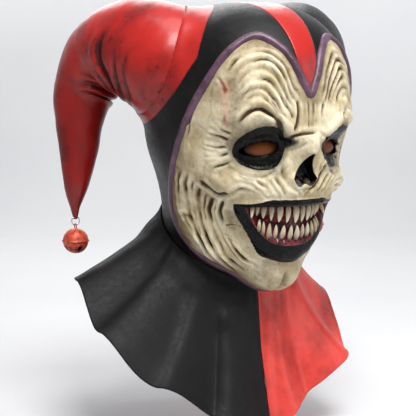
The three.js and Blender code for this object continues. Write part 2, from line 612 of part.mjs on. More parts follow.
// A jingle bell: two pressed halves meeting in a rim, a shank on top, crossed slots below.
function makeBell() {
  const { radius, wall, rimReach, rimThick } = BELL;
  const { slotReach, slotDrop, holeDrop } = BELL_SHARES;
  const arc = (r, from, to, n) =>
    Array.from({ length: n + 1 }, (_, i) => {
      const a = THREE.MathUtils.degToRad(from + ((to - from) * i) / n);
      return new THREE.Vector2(r * Math.cos(a), r * Math.sin(a));
    });
  const rimAngle = THREE.MathUtils.radToDeg(Math.asin(rimThick / 2 / radius));
  const outline = [
    ...arc(radius, -90, -rimAngle, 4),
    new THREE.Vector2(radius + rimReach, -rimThick / 2),
    new THREE.Vector2(radius + rimReach, rimThick / 2),
    ...arc(radius, rimAngle, 90, 4),
  ];
  outline[0].x = 0;
  outline.at(-1).x = 0;
  const body = new THREE.LatheGeometry(outline, BELL.sides).rotateX(Math.PI / 2);
  let bell = solidFrom(body).subtract(solidFrom(new THREE.SphereGeometry(radius - wall, 10, 5)));
  for (const turn of [0, Math.PI / 2]) {
    const slot = new THREE.BoxGeometry(2 * radius * slotReach, BELL.slotWidth, radius);
    slot.translate(0, 0, -radius * slotDrop).rotateZ(turn);
    bell = bell.subtract(solidFrom(slot));
    const hole = new THREE.CylinderGeometry(BELL.holeRadius, BELL.holeRadius, 3 * radius, 6);
    hole.rotateZ(Math.PI / 2).translate(0, 0, -radius * holeDrop).rotateZ(turn);
    bell = bell.subtract(solidFrom(hole));
  }
  const shank = new THREE.TorusGeometry(SHANK.radius, SHANK.wire, 5, 10);
  shank.rotateY(Math.PI / 2).translate(0, 0, SHANK.height - BELL.height);
  const inside = solidFrom(new THREE.SphereGeometry(radius - wall, 10, 5));
  bell = bell.add(solidFrom(shank).subtract(inside));
  return largest(bell).translate([-TIP.out, TIP.back, BELL.height]);
}
function makeRing() {
  const ring = new THREE.TorusGeometry(RING.radius, RING.wire, RING.sides, RING.steps);
  ring.rotateX(Math.PI / 2).translate(-TIP.out, TIP.back, RING.height - RING.radius);
  return solidFrom(ring);
}

const mask = new THREE.Group();
mask.name = "clown_mask";
function add(name, solid, finish) {
  const geometry = solid.isBufferGeometry ? solid : geometryFrom(solid);
  geometry.translate(0, 0, WALL - CROWN_HEIGHT);
  const mesh = new THREE.Mesh(geometry, finishes[finish]);
  mesh.name = name;
  mask.add(mesh);
}
const faceKeep = solidFrom(wallGeometry(lifted(faceGrid, GAP), lifted(faceGrid, -TOOTH.trim), true));
const weltPath = new THREE.CatmullRomCurve3(
  Array.from({ length: WELT.steps }, (_, i) => {
    const p = onWelt(i / WELT.steps);
    return p.addScaledVector(directionOf(p), -WELT.sink);
  }),
  true,
);
const weltTube = (radius) =>
  solidFrom(new THREE.TubeGeometry(weltPath, WELT.steps, radius, WELT.sides, true));
const weltKeep = weltTube(WELT.radius + WELT.keep);
const hoodSkin = solidFrom(wallGeometry(lifted(hoodWalls, 0), lifted(hoodWalls, -WALL), false));
const stripeSkin = solidFrom(wallGeometry(lifted(stripeWalls, 0), lifted(stripeWalls, -WALL), false));
const hornSills = hornSill.add(mirrored(hornSill));
const bell = makeBell();
const ring = makeRing();

add("face", largest(makeFace().subtract(weltKeep)), "bone");
add("face_welt", weltTube(WELT.radius), "purple");
add("hood", largest(hoodSkin.subtract(hornSills).subtract(weltKeep)), "black");
add("crown_stripe", largest(stripeSkin.subtract(weltKeep)), "red");
add("horn_right", largest(hornBody.subtract(hornBed)), "red");
add("horn_left", largest(mirrored(hornBody).subtract(hornBed)), "black");
add("collar_right", makeCollar(COLLAR.seamTurn, 180 - COLLAR.seamTurn), "black");
add("collar_left", makeCollar(180 + COLLAR.seamTurn, 360 - COLLAR.seamTurn), "red");
add("eye_lens_right", makeLens(-1), "amber");
add("eye_lens_left", makeLens(1), "amber");
for (const [row, name] of [[UPPER_TEETH, "tooth_upper"], [LOWER_TEETH, "tooth_lower"]])
  for (let i = 0; i < row.count; i++)
    add(`${name}_${String(i + 1).padStart(2, "0")}`, makeTooth(row, i), "tooth");
add("ring_right", ring, "wire");
add("ring_left", mirrored(ring), "wire");
add("bell_right", bell, "bellRed");
add("bell_left", mirrored(bell), "bellRed");

export default mask;
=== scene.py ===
# Looks for the clown mask: detailed latex skins, teeth, bells and finishes on the CAD frame.
import math
import bpy
import numpy as np
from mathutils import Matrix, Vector


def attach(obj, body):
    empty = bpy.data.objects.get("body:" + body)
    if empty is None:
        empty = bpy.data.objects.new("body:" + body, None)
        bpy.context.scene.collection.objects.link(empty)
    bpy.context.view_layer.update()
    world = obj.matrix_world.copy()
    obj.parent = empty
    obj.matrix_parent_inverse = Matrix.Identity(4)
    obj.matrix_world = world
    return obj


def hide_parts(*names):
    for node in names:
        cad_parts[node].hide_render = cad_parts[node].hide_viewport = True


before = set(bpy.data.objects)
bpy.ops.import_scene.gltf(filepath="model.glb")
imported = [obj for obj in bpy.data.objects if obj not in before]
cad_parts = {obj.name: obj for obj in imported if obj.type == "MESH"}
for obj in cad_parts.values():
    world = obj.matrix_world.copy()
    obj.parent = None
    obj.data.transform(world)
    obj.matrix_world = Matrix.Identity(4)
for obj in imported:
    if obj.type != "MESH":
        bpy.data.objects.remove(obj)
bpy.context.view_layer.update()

# Shapes are in millimetres, with heights counted up from the chin, and are then moved to the row frame.
layout = dict(seatHeight=277.0, heart=(0, 0, 140), wall=2.6, weltTuck=2.2, farAway=1e9)
search = dict(near=10, far=330, frontNear=20, frontFar=160, halvings=26)
waveForm = dict(octaves=3, waves=3, finer=2, weaker=1.6, turn=6.28, share=4)
heart = np.array(layout["heart"], float)


def toRow(points):
    p = np.asarray(points, float).reshape(-1, 3).copy()
    p[:, 2] -= layout["seatHeight"]
    return p / 1000


def ease(low, high, value):
    t = np.clip((value - low) / (high - low), 0, 1)
    return t * t * (3 - 2 * t)


def bump(value, width):
    return np.exp(-(value / width) ** 2)


def unit(v):
    return v / np.linalg.norm(v, axis=-1, keepdims=True)


def turns(count):
    return np.arange(count) * 2 * np.pi / count


# An angle brought to within half a turn of zero.
def wrapped(angle):
    return np.angle(np.exp(1j * angle))


# Directions round a line, from the two sideways axes of each of its points.
def spokes(angle, first, second):
    return np.cos(angle)[None, :, None] * first[:, None] + np.sin(angle)[None, :, None] * second[:, None]


# A smooth wandering value made of a few turned sine waves, the same at every run.
def wander(p, scale, seed):
    w = waveForm
    r = np.random.default_rng(seed)
    total = np.zeros(p.shape[:-1])
    for i in range(w["octaves"]):
        for _ in range(w["waves"]):
            d = unit(r.normal(size=3))
            total += np.sin(p @ d * (w["finer"] ** i) / scale + r.uniform(0, w["turn"])) / (w["weaker"] ** i)
    return total / w["share"]


def dents(p, height, scale, seed):
    return height * wander(p, scale, seed)


# The head's form, blended from rounded masses and hollows.
headForm = dict(
    masses=[
        dict(out=0, front=-5, height=177, wide=98, deep=114, tall=103, power=2.5, blend=0),  # cranium
        dict(out=0, front=5, height=97, wide=82, deep=84, tall=90, plan=1.85, blend=22),  # face
        dict(out=0, front=-45, height=20, wide=69, deep=52, tall=220, blend=18),  # neck
        dict(out=0, front=40, height=77, wide=38, deep=49, tall=46, blend=14),  # muzzle
        dict(out=0, front=42, height=21, wide=28, deep=28, tall=21, blend=14),  # chin
        dict(out=45, front=54, height=110, wide=19, deep=18, tall=14, blend=12),  # cheekbones
        dict(out=27, front=81, height=168, wide=26, deep=20, tall=15, blend=14),  # brows
        dict(out=0, front=98, height=146, wide=11, deep=21, tall=16, blend=8),  # nose
        dict(out=0, front=76, height=106, wide=28, deep=20, tall=13, blend=12),  # upper lip
    ],
    hollows=[
        dict(out=92, front=84, height=134, wide=34, deep=34, tall=32, blend=16),  # temples
        dict(out=82, front=52, height=62, wide=34, deep=36, tall=36, blend=20),  # cheeks
        dict(out=0, front=124, height=161, wide=16, deep=12, tall=7, blend=6),  # nose root
    ],
)


# About how far points lie outside a mass, which is an ellipsoid unless it names its own powers.
def massGap(mass, p):
    plan, power = mass.get("plan", 2), mass.get("power", 2)
    x = np.abs(np.abs(p[..., 0]) - mass["out"]) / mass["wide"]
    y = np.abs(p[..., 1] + mass["front"]) / mass["deep"]
    z = np.abs(p[..., 2] - mass["height"]) / mass["tall"]
    level = (x ** plan + y ** plan) ** (1 / plan)
    size = (level ** power + z ** power) ** (1 / power)
    return (size - 1) * min(mass["wide"], mass["deep"], mass["tall"])


def blendMin(a, b, k):
    if not k:
        return np.minimum(a, b)
    h = np.maximum(k - np.abs(a - b), 0) / k
    return np.minimum(a, b) - h * h * k / 4


def headGap(p):
    gap = np.full(p.shape[:-1], layout["farAway"])
    for mass in headForm["masses"]:
        gap = blendMin(gap, massGap(mass, p), mass["blend"])
    for hollow in headForm["hollows"]:
        gap = -blendMin(-gap, massGap(hollow, p), hollow["blend"])
    return gap


# Crossing of the form along lines from start, found by halving.
def reach(start, direction, near, far):
    low = np.full(direction.shape[:-1], float(near))
    high = np.full(direction.shape[:-1], float(far))
    for _ in range(search["halvings"]):
        middle = (low + high) / 2
        inside = headGap(start + direction * middle[..., None]) < 0
        low = np.where(inside, middle, low)
        high = np.where(inside, high, middle)
    return low


def onForm(direction):
    return heart + direction * reach(heart, direction, search["near"], search["far"])[..., None]


# The direction from the heart to the form's front at a place seen from ahead.
def frontDirection(x, z):
    start = np.stack([x, np.zeros_like(x), z], -1)
    ahead = np.broadcast_to(np.array([0.0, -1.0, 0.0]), start.shape)
    depth = reach(start, ahead, search["frontNear"], search["frontFar"])
    return unit(np.stack([x, -depth, z], -1) - heart)


# The photograph's camera. Lines drawn as photo pixels are cast from it onto the head.
photoCamera = dict(
    azimuth=-30, elevation=6, distance=1300, aim=(-34.64, 20, 76.5), pixels=416, focal=1300,
    sensor=36, clip=50, castNear=1050, castFar=1500, castStep=2.0,
)


def towards(azimuth, elevation):
    a, e = math.radians(azimuth), math.radians(elevation)
    return np.array([math.sin(a) * math.cos(e), -math.cos(a) * math.cos(e), math.sin(e)])


def cameraAxes():
    a = math.radians(photoCamera["azimuth"])
    back = towards(photoCamera["azimuth"], photoCamera["elevation"])
    right = np.array([math.cos(a), math.sin(a), 0])
    return right, np.cross(back, right), back


def fromPixels(pixels):
    c = photoCamera
    right, up, back = cameraAxes()
    eye = np.array(c["aim"]) + c["distance"] * back
    half = c["pixels"] / 2
    px = np.asarray(pixels, float)
    rays = unit((px[:, :1] - half) * right - (px[:, 1:] - half) * up - c["focal"] * back)
    along = np.arange(c["castNear"], c["castFar"], c["castStep"])
    hits = []
    for ray in rays:
        gaps = headGap(eye + along[:, None] * ray)
        first = np.argmax(gaps < 0) if (gaps < 0).any() else np.argmin(gaps)
        hits.append(eye + along[first] * ray)
    return np.array(hits)


def addObject(name, data):
    obj = bpy.data.objects.new(name, data)
    bpy.context.scene.collection.objects.link(obj)
    return obj


# A smooth mesh with named values at its points.
def addMesh(name, points, faces, values=None, place=toRow):
    mesh = bpy.data.meshes.new(name)
    mesh.from_pydata(place(points).tolist(), [], [tuple(f) for f in faces])
    for key, data in (values or {}).items():
        layer = mesh.attributes.new(key, "FLOAT", "POINT")
        layer.data.foreach_set("value", np.asarray(data, np.float32).ravel())
    mesh.update()
    mesh.polygons.foreach_set("use_smooth", [True] * len(mesh.polygons))
    return addObject(name, mesh)


def gridFaces(rows, columns, closed):
    r, c = np.meshgrid(np.arange(rows - 1), np.arange(columns if closed else columns - 1), indexing="ij")
    d = (c + 1) % columns
    quads = np.stack([r * columns + c, (r + 1) * columns + c, (r + 1) * columns + d, r * columns + d], -1)
    return quads.reshape(-1, 4)


# Faces with one row of points drawn together into its first point.
def gatherRow(faces, first, count):
    return [tuple(dict.fromkeys(first if first <= k < first + count else k for k in f)) for f in faces]


# Edges that only one face has, in that face's own direction.
def loneEdges(quads):
    start, end = quads.ravel(), np.roll(quads, -1, axis=1).ravel()
    size = quads.max() + 1
    lone = ~np.isin(start * size + end, end * size + start)
    return start[lone], end[lone]


# The points of one closed loop of edges, in order from the least turn upward, and their turns.
def walkLoop(start, end, turn):
    after = dict(zip(start.tolist(), end.tolist()))
    at = min(after, key=lambda k: turn[k])
    order = [at]
    while after[order[-1]] != at and len(order) < len(after):
        order.append(after[order[-1]])
    third = len(order) // 3
    if turn[order[third]] > turn[order[2 * len(order) // 3]]:
        order = order[:1] + order[:0:-1]
    return np.array(order), np.maximum.accumulate(turn[order])


# A wall of triangles between two closed loops of points, each with the turn it lies at.
def stitch(loopA, turnA, loopB, turnB):
    pastAll = 9  # more than any turn
    a, b = [*loopA, loopA[0]], [*loopB, loopB[0]]
    turnA, turnB = [*turnA, pastAll], [*turnB, pastAll]
    i = j = 0
    faces = []
    while i < len(loopA) or j < len(loopB):
        if j == len(loopB) or (i < len(loopA) and turnA[i + 1] <= turnB[j + 1]):
            faces.append((a[i + 1], a[i], b[j]))
            i += 1
        else:
            faces.append((a[i], b[j], b[j + 1]))
            j += 1
    return faces


# Gives a sheet its wall, on the inside.
def thicken(obj, thickness):
    solid = obj.modifiers.new("wall", "SOLIDIFY")
    solid.thickness = thickness / 1000
    solid.offset = -1.0
    solid.use_rim = True
    return obj


def dress(obj, material, body, node):
    obj.data.materials.append(material)
    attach(obj, body)
    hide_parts(node)


def smoothLine(points, count):
    p = np.asarray(points, float)
    last = len(p) - 1
    t = np.linspace(0, last, count)
    i = np.minimum(t.astype(int), last - 1)
    f = (t - i)[:, None]
    a, b, c, d = (p[np.clip(i + k, 0, last)] for k in (-1, 0, 1, 2))
    return b + 0.5 * f * (c - a + f * (2 * a - 5 * b + 4 * c - d + f * (3 * (b - c) + d - a)))


# Distance from points to a polyline, and how far along it the nearest place lies, as a share.
def lineGap(p, line):
    best = np.full(len(p), layout["farAway"])
    along = np.zeros(len(p))
    for i in range(len(line) - 1):
        span = line[i + 1] - line[i]
        t = np.clip((p - line[i]) @ span / max(span @ span, 1e-9), 0, 1)
        gap = np.linalg.norm(p - line[i] - t[:, None] * span, axis=1)
        closer = gap < best
        best = np.where(closer, gap, best)
        along = np.where(closer, (i + t) / (len(line) - 1), along)
    return best, along


# A centripetal curve through points, given back at even steps of its length, with a value carried along.
curveForm = dict(samples=80, shortest=1e-4)


def evenCurve(points, count, closed, carry=None):
    p = np.asarray(points, float)
    if closed:
        q = np.vstack([p[-1], p, p[0], p[1]])
    else:
        q = np.vstack([2 * p[0] - p[1], p, 2 * p[-1] - p[-2]])
    dense, extra = [], []
    f = np.linspace(0, 1, curveForm["samples"], endpoint=False)[:, None]
    for i in range(len(q) - 3):
        a, b, c, d = q[i:i + 4]
        spans = (b - a, c - b, d - c)
        ta, tb, tc = (max(np.linalg.norm(v) ** 0.5, curveForm["shortest"]) for v in spans)
        start = ((b - a) / ta - (c - a) / (ta + tb) + (c - b) / tb) * tb
        end = ((c - b) / tb - (d - b) / (tb + tc) + (d - c) / tc) * tb
        square, cube = 3 * (c - b) - 2 * start - end, 2 * (b - c) + start + end
        dense.append(b + f * start + f * f * square + f ** 3 * cube)
        extra.append(i + f[:, 0])
    dense.append(p[:1] if closed else p[-1:])
    extra.append([len(q) - 3])
    dense, extra = np.vstack(dense), np.concatenate(extra)
    length = np.concatenate([[0], np.cumsum(np.linalg.norm(np.diff(dense, axis=0), axis=1))])
    at = np.linspace(0, length[-1], count, endpoint=not closed)
    line = np.stack([np.interp(at, length, dense[:, k]) for k in range(3)], -1)
    if carry is None:
        return line
    return line, np.interp(np.interp(at, length, extra), np.arange(len(carry)), carry)


# The welt that runs round the face, from the forehead's peak over the wearer's right side and back.
weltForm = dict(
    radius=4.4,
    sink=1.6,
    steps=720,
    sides=20,
    probe=0.002,
    twin=(110, 45), twinSquash=0.45, twinCut=0.5, twinWide=0.35,
    fine=(0.28, 5, 41), fineRound=3, broad=(0.2, 12, 42),  # dents: height, scale and seed
    line=[
        (0, 105, 190), (7, 100, 201), (20, 90, 228), (38, 74, 240), (58, 66, 229), (78, 56, 203),
        (91, 34, 163), (88, 6, 116), (76, -16, 68), (66, -2, 38), (40, 18, 25), (0, 36, 8),
    ],
)
rightSide = [(-x, -front, z) for x, front, z in weltForm["line"]]
leftSide = [(-x, y, z) for x, y, z in rightSide[1:-1]][::-1]
weltLine = onForm(unit(evenCurve(rightSide + leftSide, weltForm["steps"], True) - heart))


def alongWelt(t):
    place = (np.asarray(t) % 1) * len(weltLine)
    i = place.astype(int) % len(weltLine)
    f = (place % 1)[..., None]
    return weltLine[i] * (1 - f) + weltLine[(i + 1) % len(weltLine)] * f


# Directions to a line that runs beside the welt, outward of the face where shift is above zero.
def besideWelt(t, shift):
    p = alongWelt(t)
    probe = weltForm["probe"]
    tangent = unit(alongWelt(np.asarray(t) + probe) - alongWelt(np.asarray(t) - probe))
    sideways = unit(np.cross(tangent, unit(p - heart)))
    return unit(p + sideways * shift - heart)


# The face, in rings from the middle of the mouth over the lips to the welt. Pairs are the start and end
# of a soft step.
faceForm = dict(
    columns=620, mouthRows=16, lipRows=12, outerRows=84, innerStep=5, mouthMiddle=68, mouthCrowd=1.5,
    cornerShare=0.3, cornerPower=0.8, front=(-10, -30), offLips=(-4, -1), offPit=(0.95, 1.12),
    lumps=[(1.1, 13, 31), (0.45, 5, 32)],  # height, scale and seed
)
mouthForm = dict(half=47, top=87, topDip=1, bottom=48, bow=3, depth=11, edge=4)
lipForm = dict(upper=8, lower=17, corner=6, lowerReach=0.75, split=67.5, rise=4, thin=0.5, thinning=(18, 44))
eyeForm = dict(
    out=40, height=141, ringWide=24, ringTall=21, sink=13, lidRise=5, lidAt=0.55, lidWide=0.22, brim=1.1,
    slitWide=15.5, slitTall=7, slant=0.1, stretch=2.2, edgeBack=7.5, innerHole=1.25, around=1.3,
)
pitForm = dict(
    round=2.3, outer=20.5, inner=18, top=22, bottom=20, sharp=6,
    cornerIn=16, cornerUp=6.5, cornerWide=11, cornerTall=5, cornerLift=0.35,
)
# Rolls of skin at the eye: height, place as a share of the slit or the pit, and width.
rollForm = dict(
    slit=(1.9, 1.18, 0.13), upperLid=(2.6, 0.72, 0.11), lowerLid=(1.4, 0.74, 0.1),
    brow=(3.4, 1.2, 0.14), browCut=(-2.4, 0.95, 0.09), bag=(1.8, 1.14, 0.1),
    over=(0, 8), below=(0, -8), browUp=(1, 6), browOut=(12, -2), browIn=(-40, -30), bagDown=(-2, -8),
)
noseForm = dict(
    top=137, bottom=107, half=13, pointed=0.62, flare=0.5, sill=1, notch=3.5, notchWide=4, lobe=9,
    lobePower=4, floor=91, opening=(-0.4, 1.4), lump=9, lumpOut=5.5, lumpHeight=109.5, lumpWide=3.6,
    rim=1.5, rimOut=1.6, rimWide=1.7,
)
# Bulges of the gums: height, pitch of the teeth and height of the row.
gumForm = dict(edge=3, bulges=[(1.3, 7.2, 84), (1.2, 6.6, 51)], wide=5, fold=4, foldHeight=65)
cleftForm = dict(height=13, wide=3.0, tall=10, depth=5)


def mouthEdges(a):
    m = mouthForm
    rise = m["top"] - m["topDip"] - m["bottom"]
    return m["top"] - m["topDip"] * a * a, m["bottom"] + rise * a ** m["bow"], rise


# About how far a place lies inside the mouth's edge.
def mouthInside(x, z):
    a = np.abs(x) / mouthForm["half"]
    top, bottom, rise = mouthEdges(a)
    slope = rise * mouthForm["bow"] * a ** (mouthForm["bow"] - 1) / mouthForm["half"]
    return np.minimum(top - z, (z - bottom) / np.hypot(1, slope))


def lipWidth(x, z):
    middle = bump(x, mouthForm["half"] * lipForm["lowerReach"])
    lower = lipForm["corner"] + (lipForm["lower"] - lipForm["corner"]) * middle
    return np.where(z < lipForm["split"], lower, lipForm["upper"])


def eyePlace(x, z):
    a = np.abs(x) - eyeForm["out"]
    return a, z - eyeForm["height"] + eyeForm["slant"] * a


# How far a place lies inside the nose's opening: two lobes below that meet in a point above.
def noseInside(x, z):
    n = noseForm
    below = np.clip(1 - (z - n["bottom"]) / (n["top"] - n["bottom"]), 0, 1)
    half = n["half"] * np.sqrt(below) * (n["pointed"] + n["flare"] * below)
    lobes = n["lobe"] * (np.abs(x) / n["half"]) ** n["lobePower"]
    sill = n["bottom"] - n["sill"] + n["notch"] * bump(x, n["notchWide"]) + lobes
    return np.minimum(half - np.abs(x), np.minimum(z - sill, n["top"] - z))


# The mouth's edge once round, as shares from the middle of the upper lip.
def mouthOutline(share):
    half = np.where(share < 0.5, share, 1 - share)
    corner = faceForm["cornerShare"]
    low = np.clip((half - corner) / (0.5 - corner), 0, 1)
    onLower = np.clip(np.cos(low * math.pi / 2), 0, 1) ** faceForm["cornerPower"]
    a = np.where(half < corner, half / corner, onLower)
    upper, lower, _ = mouthEdges(a)
    return np.where(share < 0.5, -1, 1) * a * mouthForm["half"], np.where(half < corner, upper, lower)


def faceDirections(columns):
    share = (np.arange(columns) + 0.5) / columns
    x, z = mouthOutline(share)
    middle = faceForm["mouthMiddle"]
    inner = 1 - (1 - np.linspace(0, 1, faceForm["mouthRows"])) ** faceForm["mouthCrowd"]
    rows = [(x * f, middle + (z - middle) * f) for f in inner]
    away = unit(np.stack([x, z - middle], -1))
    width = np.where(z < middle, lipForm["lower"], lipForm["upper"])
    for f in np.linspace(0, 1, faceForm["lipRows"] + 1)[1:]:
        rows.append((x + away[:, 0] * f * width, z + away[:, 1] * f * width))
    grid = [frontDirection(px, pz) for px, pz in rows]
    rim = besideWelt(share, -layout["weltTuck"])
    for f in np.linspace(0, 1, faceForm["outerRows"] + 1)[1:]:
        grid.append(unit(grid[len(rows) - 1] * (1 - f) + rim * f))
    return np.array(grid)


# Folds and swellings of the skin, as photo pixels on the near side of the face, with half-width and depth
# or height in millimetres. Both sides of the face get them.
foldStrokes = {
    "forehead outer": dict(wide=1.6, deep=1.4, px=[
        (226, 76), (236, 63), (250, 55), (263, 53), (276, 59), (286, 70), (294, 86), (299, 99)]),
    "forehead second": dict(wide=1.6, deep=1.5, px=[
        (233, 79), (243, 67), (255, 61), (266, 61), (277, 68), (286, 80), (292, 95), (296, 108)]),
    "forehead third": dict(wide=1.7, deep=1.6, px=[
        (236, 87), (246, 74), (257, 69), (268, 71), (278, 80), (286, 93), (291, 107), (293, 117)]),
    "forehead fourth": dict(wide=1.6, deep=1.7, px=[
        (236, 96), (246, 83), (258, 78), (269, 81), (278, 91), (284, 103), (288, 116)]),
    "forehead inner": dict(wide=1.7, deep=1.7, px=[
        (238, 102), (247, 92), (259, 88), (269, 92), (276, 101), (281, 112), (285, 121)]),
    "forehead fine": dict(wide=0.9, deep=0.9, px=[
        (230, 71), (240, 61), (252, 58), (264, 57), (276, 63), (287, 75), (296, 92)]),
    "forehead fine second": dict(wide=0.9, deep=0.9, px=[
        (240, 81), (250, 72), (262, 66), (273, 72), (283, 84), (290, 99)]),
    "forehead fine third": dict(wide=0.9, deep=0.9, px=[
        (241, 92), (252, 81), (263, 75), (274, 83), (282, 96)]),
    "brow inner": dict(wide=1.7, deep=1.3, px=[(246, 101), (256, 96), (265, 98), (273, 107), (279, 119)]),
    "under brow": dict(wide=2.2, deep=2.8, px=[
        (236, 124), (243, 117), (251, 111), (261, 109), (269, 112), (275, 119), (281, 130), (286, 138)]),
    "frown first": dict(wide=1.5, deep=1.7, px=[(272, 100), (278, 111), (284, 122)]),
    "frown second": dict(wide=1.4, deep=1.6, px=[(286, 99), (288, 109), (292, 119)]),
    "frown third": dict(wide=1.7, deep=2.3, px=[(296, 101), (298, 112), (296, 124), (291, 133)]),
    "frown middle": dict(wide=1.0, deep=1.5, px=[(308.5, 102), (308.5, 116), (308, 129)]),
    "nose root": dict(wide=1.8, deep=1.9, px=[(287, 139), (297, 135), (308, 133), (314, 133)]),
    "nose bridge": dict(wide=1.6, deep=0.7, px=[(285, 151), (296, 148), (307, 142)]),
    "crow foot top": dict(wide=1.4, deep=1.4, px=[(211, 119), (221, 127), (231, 134)]),
    "crow foot second": dict(wide=1.4, deep=1.6, px=[(206, 131), (218, 135), (230, 140)]),
    "crow foot third": dict(wide=1.4, deep=1.6, px=[(203, 143), (216, 146), (229, 147)]),
    "crow foot fourth": dict(wide=1.4, deep=1.6, px=[(204, 156), (217, 156), (230, 153)]),
    "crow foot low": dict(wide=1.5, deep=1.6, px=[(211, 168), (222, 164), (234, 160)]),
    "eye bag": dict(wide=1.8, deep=1.8, px=[(236, 165), (248, 173), (261, 176), (273, 170), (281, 159)]),
    "under cheekbone": dict(wide=2.2, deep=2.4, px=[
        (198, 178), (209, 188), (219, 194), (229, 192), (237, 186)]),
    "cheek pleat top": dict(wide=1.6, deep=1.9, px=[(226, 184), (239, 177), (254, 179), (268, 188)]),
    "cheek pleat second": dict(wide=1.7, deep=2.1, px=[(225, 189), (238, 182), (252, 184), (266, 193)]),
    "cheek pleat third": dict(wide=1.5, deep=1.8, px=[(228, 194), (240, 188), (254, 190), (270, 197)]),
    "cheek pleat short": dict(wide=1.4, deep=1.5, px=[(234, 179), (245, 173), (257, 175)]),
    "lip pleat": dict(wide=1.5, deep=1.8, px=[(264, 177), (271, 184), (279, 194)]),
    "lip pleat inner": dict(wide=1.5, deep=1.6, px=[(273, 176), (279, 184), (286, 194)]),
    "lip pleat outer": dict(wide=1.4, deep=1.5, px=[(255, 178), (263, 186), (271, 195)]),
    "muzzle line": dict(wide=1.3, deep=1.3, px=[(287, 177), (293, 186), (301, 194)]),
    "nose side": dict(wide=1.4, deep=1.4, px=[(280, 157), (287, 165), (288, 175)]),
    "nose wing": dict(wide=2.0, deep=2.2, px=[(281, 166), (284, 178), (293, 187), (306, 190)]),
    "mouth corner": dict(wide=1.9, deep=2.2, px=[
        (226, 196), (222, 207), (225, 224), (232, 242), (244, 257), (260, 267)]),
    "corner line": dict(wide=1.1, deep=1.1, px=[(218, 199), (217, 214), (221, 232), (230, 248), (243, 262)]),
    "cheek inner": dict(wide=1.7, deep=2.2, px=[
        (213, 196), (211, 210), (213, 228), (221, 246), (233, 261), (247, 272)]),
    "cheek line": dict(wide=1.1, deep=1.2, px=[(206, 192), (206, 210), (209, 230), (218, 249), (230, 264)]),
    "cheek middle": dict(wide=1.8, deep=2.4, px=[
        (200, 184), (200, 206), (203, 226), (211, 244), (224, 260), (238, 274)]),
    "cheek second line": dict(wide=1.1, deep=1.2, px=[(194, 178), (194, 198), (197, 219), (203, 238)]),
    "cheek outer": dict(wide=1.8, deep=2.0, px=[
        (188, 165), (188, 188), (190, 208), (196, 228), (205, 246), (218, 262)]),
    "cheek rim": dict(wide=1.6, deep=1.6, px=[(181, 168), (180, 190), (183, 208), (189, 222), (196, 236)]),
    "temple line": dict(wide=1.3, deep=1.2, px=[(193, 112), (189, 128), (187, 146), (186, 162)]),
    "jaw fold": dict(wide=1.9, deep=1.7, px=[(181, 216), (187, 215), (193, 220), (197, 231), (205, 243)]),
    "temple fold": dict(wide=1.3, deep=1.2, px=[(217, 75), (222, 86), (225, 100), (224, 113), (222, 122)]),
}
swellStrokes = {
    "brow": dict(wide=4.6, rise=3.0, px=[
        (248, 105), (262, 102), (272, 108), (279, 118), (285, 129), (292, 136)]),
    "cheekbone": dict(wide=5.5, rise=2.6, px=[(210, 174), (221, 183), (232, 182), (243, 176)]),
    "nose flank": dict(wide=3.2, rise=1.8, px=[(284, 160), (289, 172), (298, 183)]),
    "cheek edge": dict(wide=3.4, rise=2.2, px=[(221, 199), (220, 214), (226, 232), (238, 248)]),
    "lid": dict(wide=3.6, rise=1.4, px=[(240, 124), (250, 118), (261, 117), (271, 123)]),
}
print("head form ready")


def surfaceNormals(grid):
    down = np.gradient(grid, axis=0)
    across = np.empty_like(grid)
    across[:, 1:-1] = grid[:, 2:] - grid[:, :-2]
    across[:, 0] = grid[:, 1] - grid[:, -1]
    across[:, -1] = grid[:, 0] - grid[:, -2]
    normal = np.cross(down, across)
    return normal / np.maximum(np.linalg.norm(normal, axis=-1, keepdims=True), 1e-9)


# How the strokes are drawn: unsteady lines with tapered ends, a groove between raised borders, and dark brown
# in the groove that is partly antiquing paint and partly painted shade.
strokeForm = dict(
    sway=1.9, swayScale=9, swaySeeds=(21, 22, 23), uneven=0.5, unevenScale=12, unevenSeed=41,
    unevenMost=(-1.6, 1.4), samples=6, foldTaper=0.16, swellTaper=0.2, groove=1.1, grooveWide=0.85,
    border=0.6, borderAt=2.1, borderWide=1.2, washShadeLeast=0.2, washShadeDepth=3.2, washShadeMost=0.85,
)


def strokeGap(near, stroke, taper):
    line = smoothLine(fromPixels(stroke["px"]), strokeForm["samples"] * len(stroke["px"]))
    line[:, 0] = -np.abs(line[:, 0])
    gap, along = lineGap(near, line)
    return gap, ease(0, taper, along) * ease(1, 1 - taper, along)


# Grooves, their darkening, partly antiquing paint and partly painted shade, and swellings, both sides of the
# face alike.
def strokeRelief(flat):
    s = strokeForm
    sway = np.stack([wander(flat, s["swayScale"], seed) for seed in s["swaySeeds"]], -1)
    near = np.where(flat[:, :1] > 0, flat * [-1, 1, 1], flat) + s["sway"] * sway
    uneven = 1 + s["uneven"] * np.clip(wander(flat, s["unevenScale"], s["unevenSeed"]), *s["unevenMost"])
    groove, washAndShade, swell = np.zeros((3, len(flat)))
    for stroke in foldStrokes.values():
        deep, wide = stroke["deep"], stroke["wide"]
        gap, taper = strokeGap(near, stroke, s["foldTaper"])
        taper = taper * uneven
        cut = bump(gap, s["grooveWide"] * wide)
        groove -= taper * s["groove"] * deep * cut
        groove += taper * s["border"] * deep * bump(gap - s["borderAt"] * wide, s["borderWide"] * wide)
        washAndShade = np.maximum(washAndShade, taper * cut * min(s["washShadeMost"], s["washShadeLeast"] + deep / s["washShadeDepth"]))
    for stroke in swellStrokes.values():
        gap, taper = strokeGap(near, stroke, s["swellTaper"])
        swell += taper * stroke["rise"] * bump(gap, stroke["wide"])
    return near, groove, washAndShade, swell


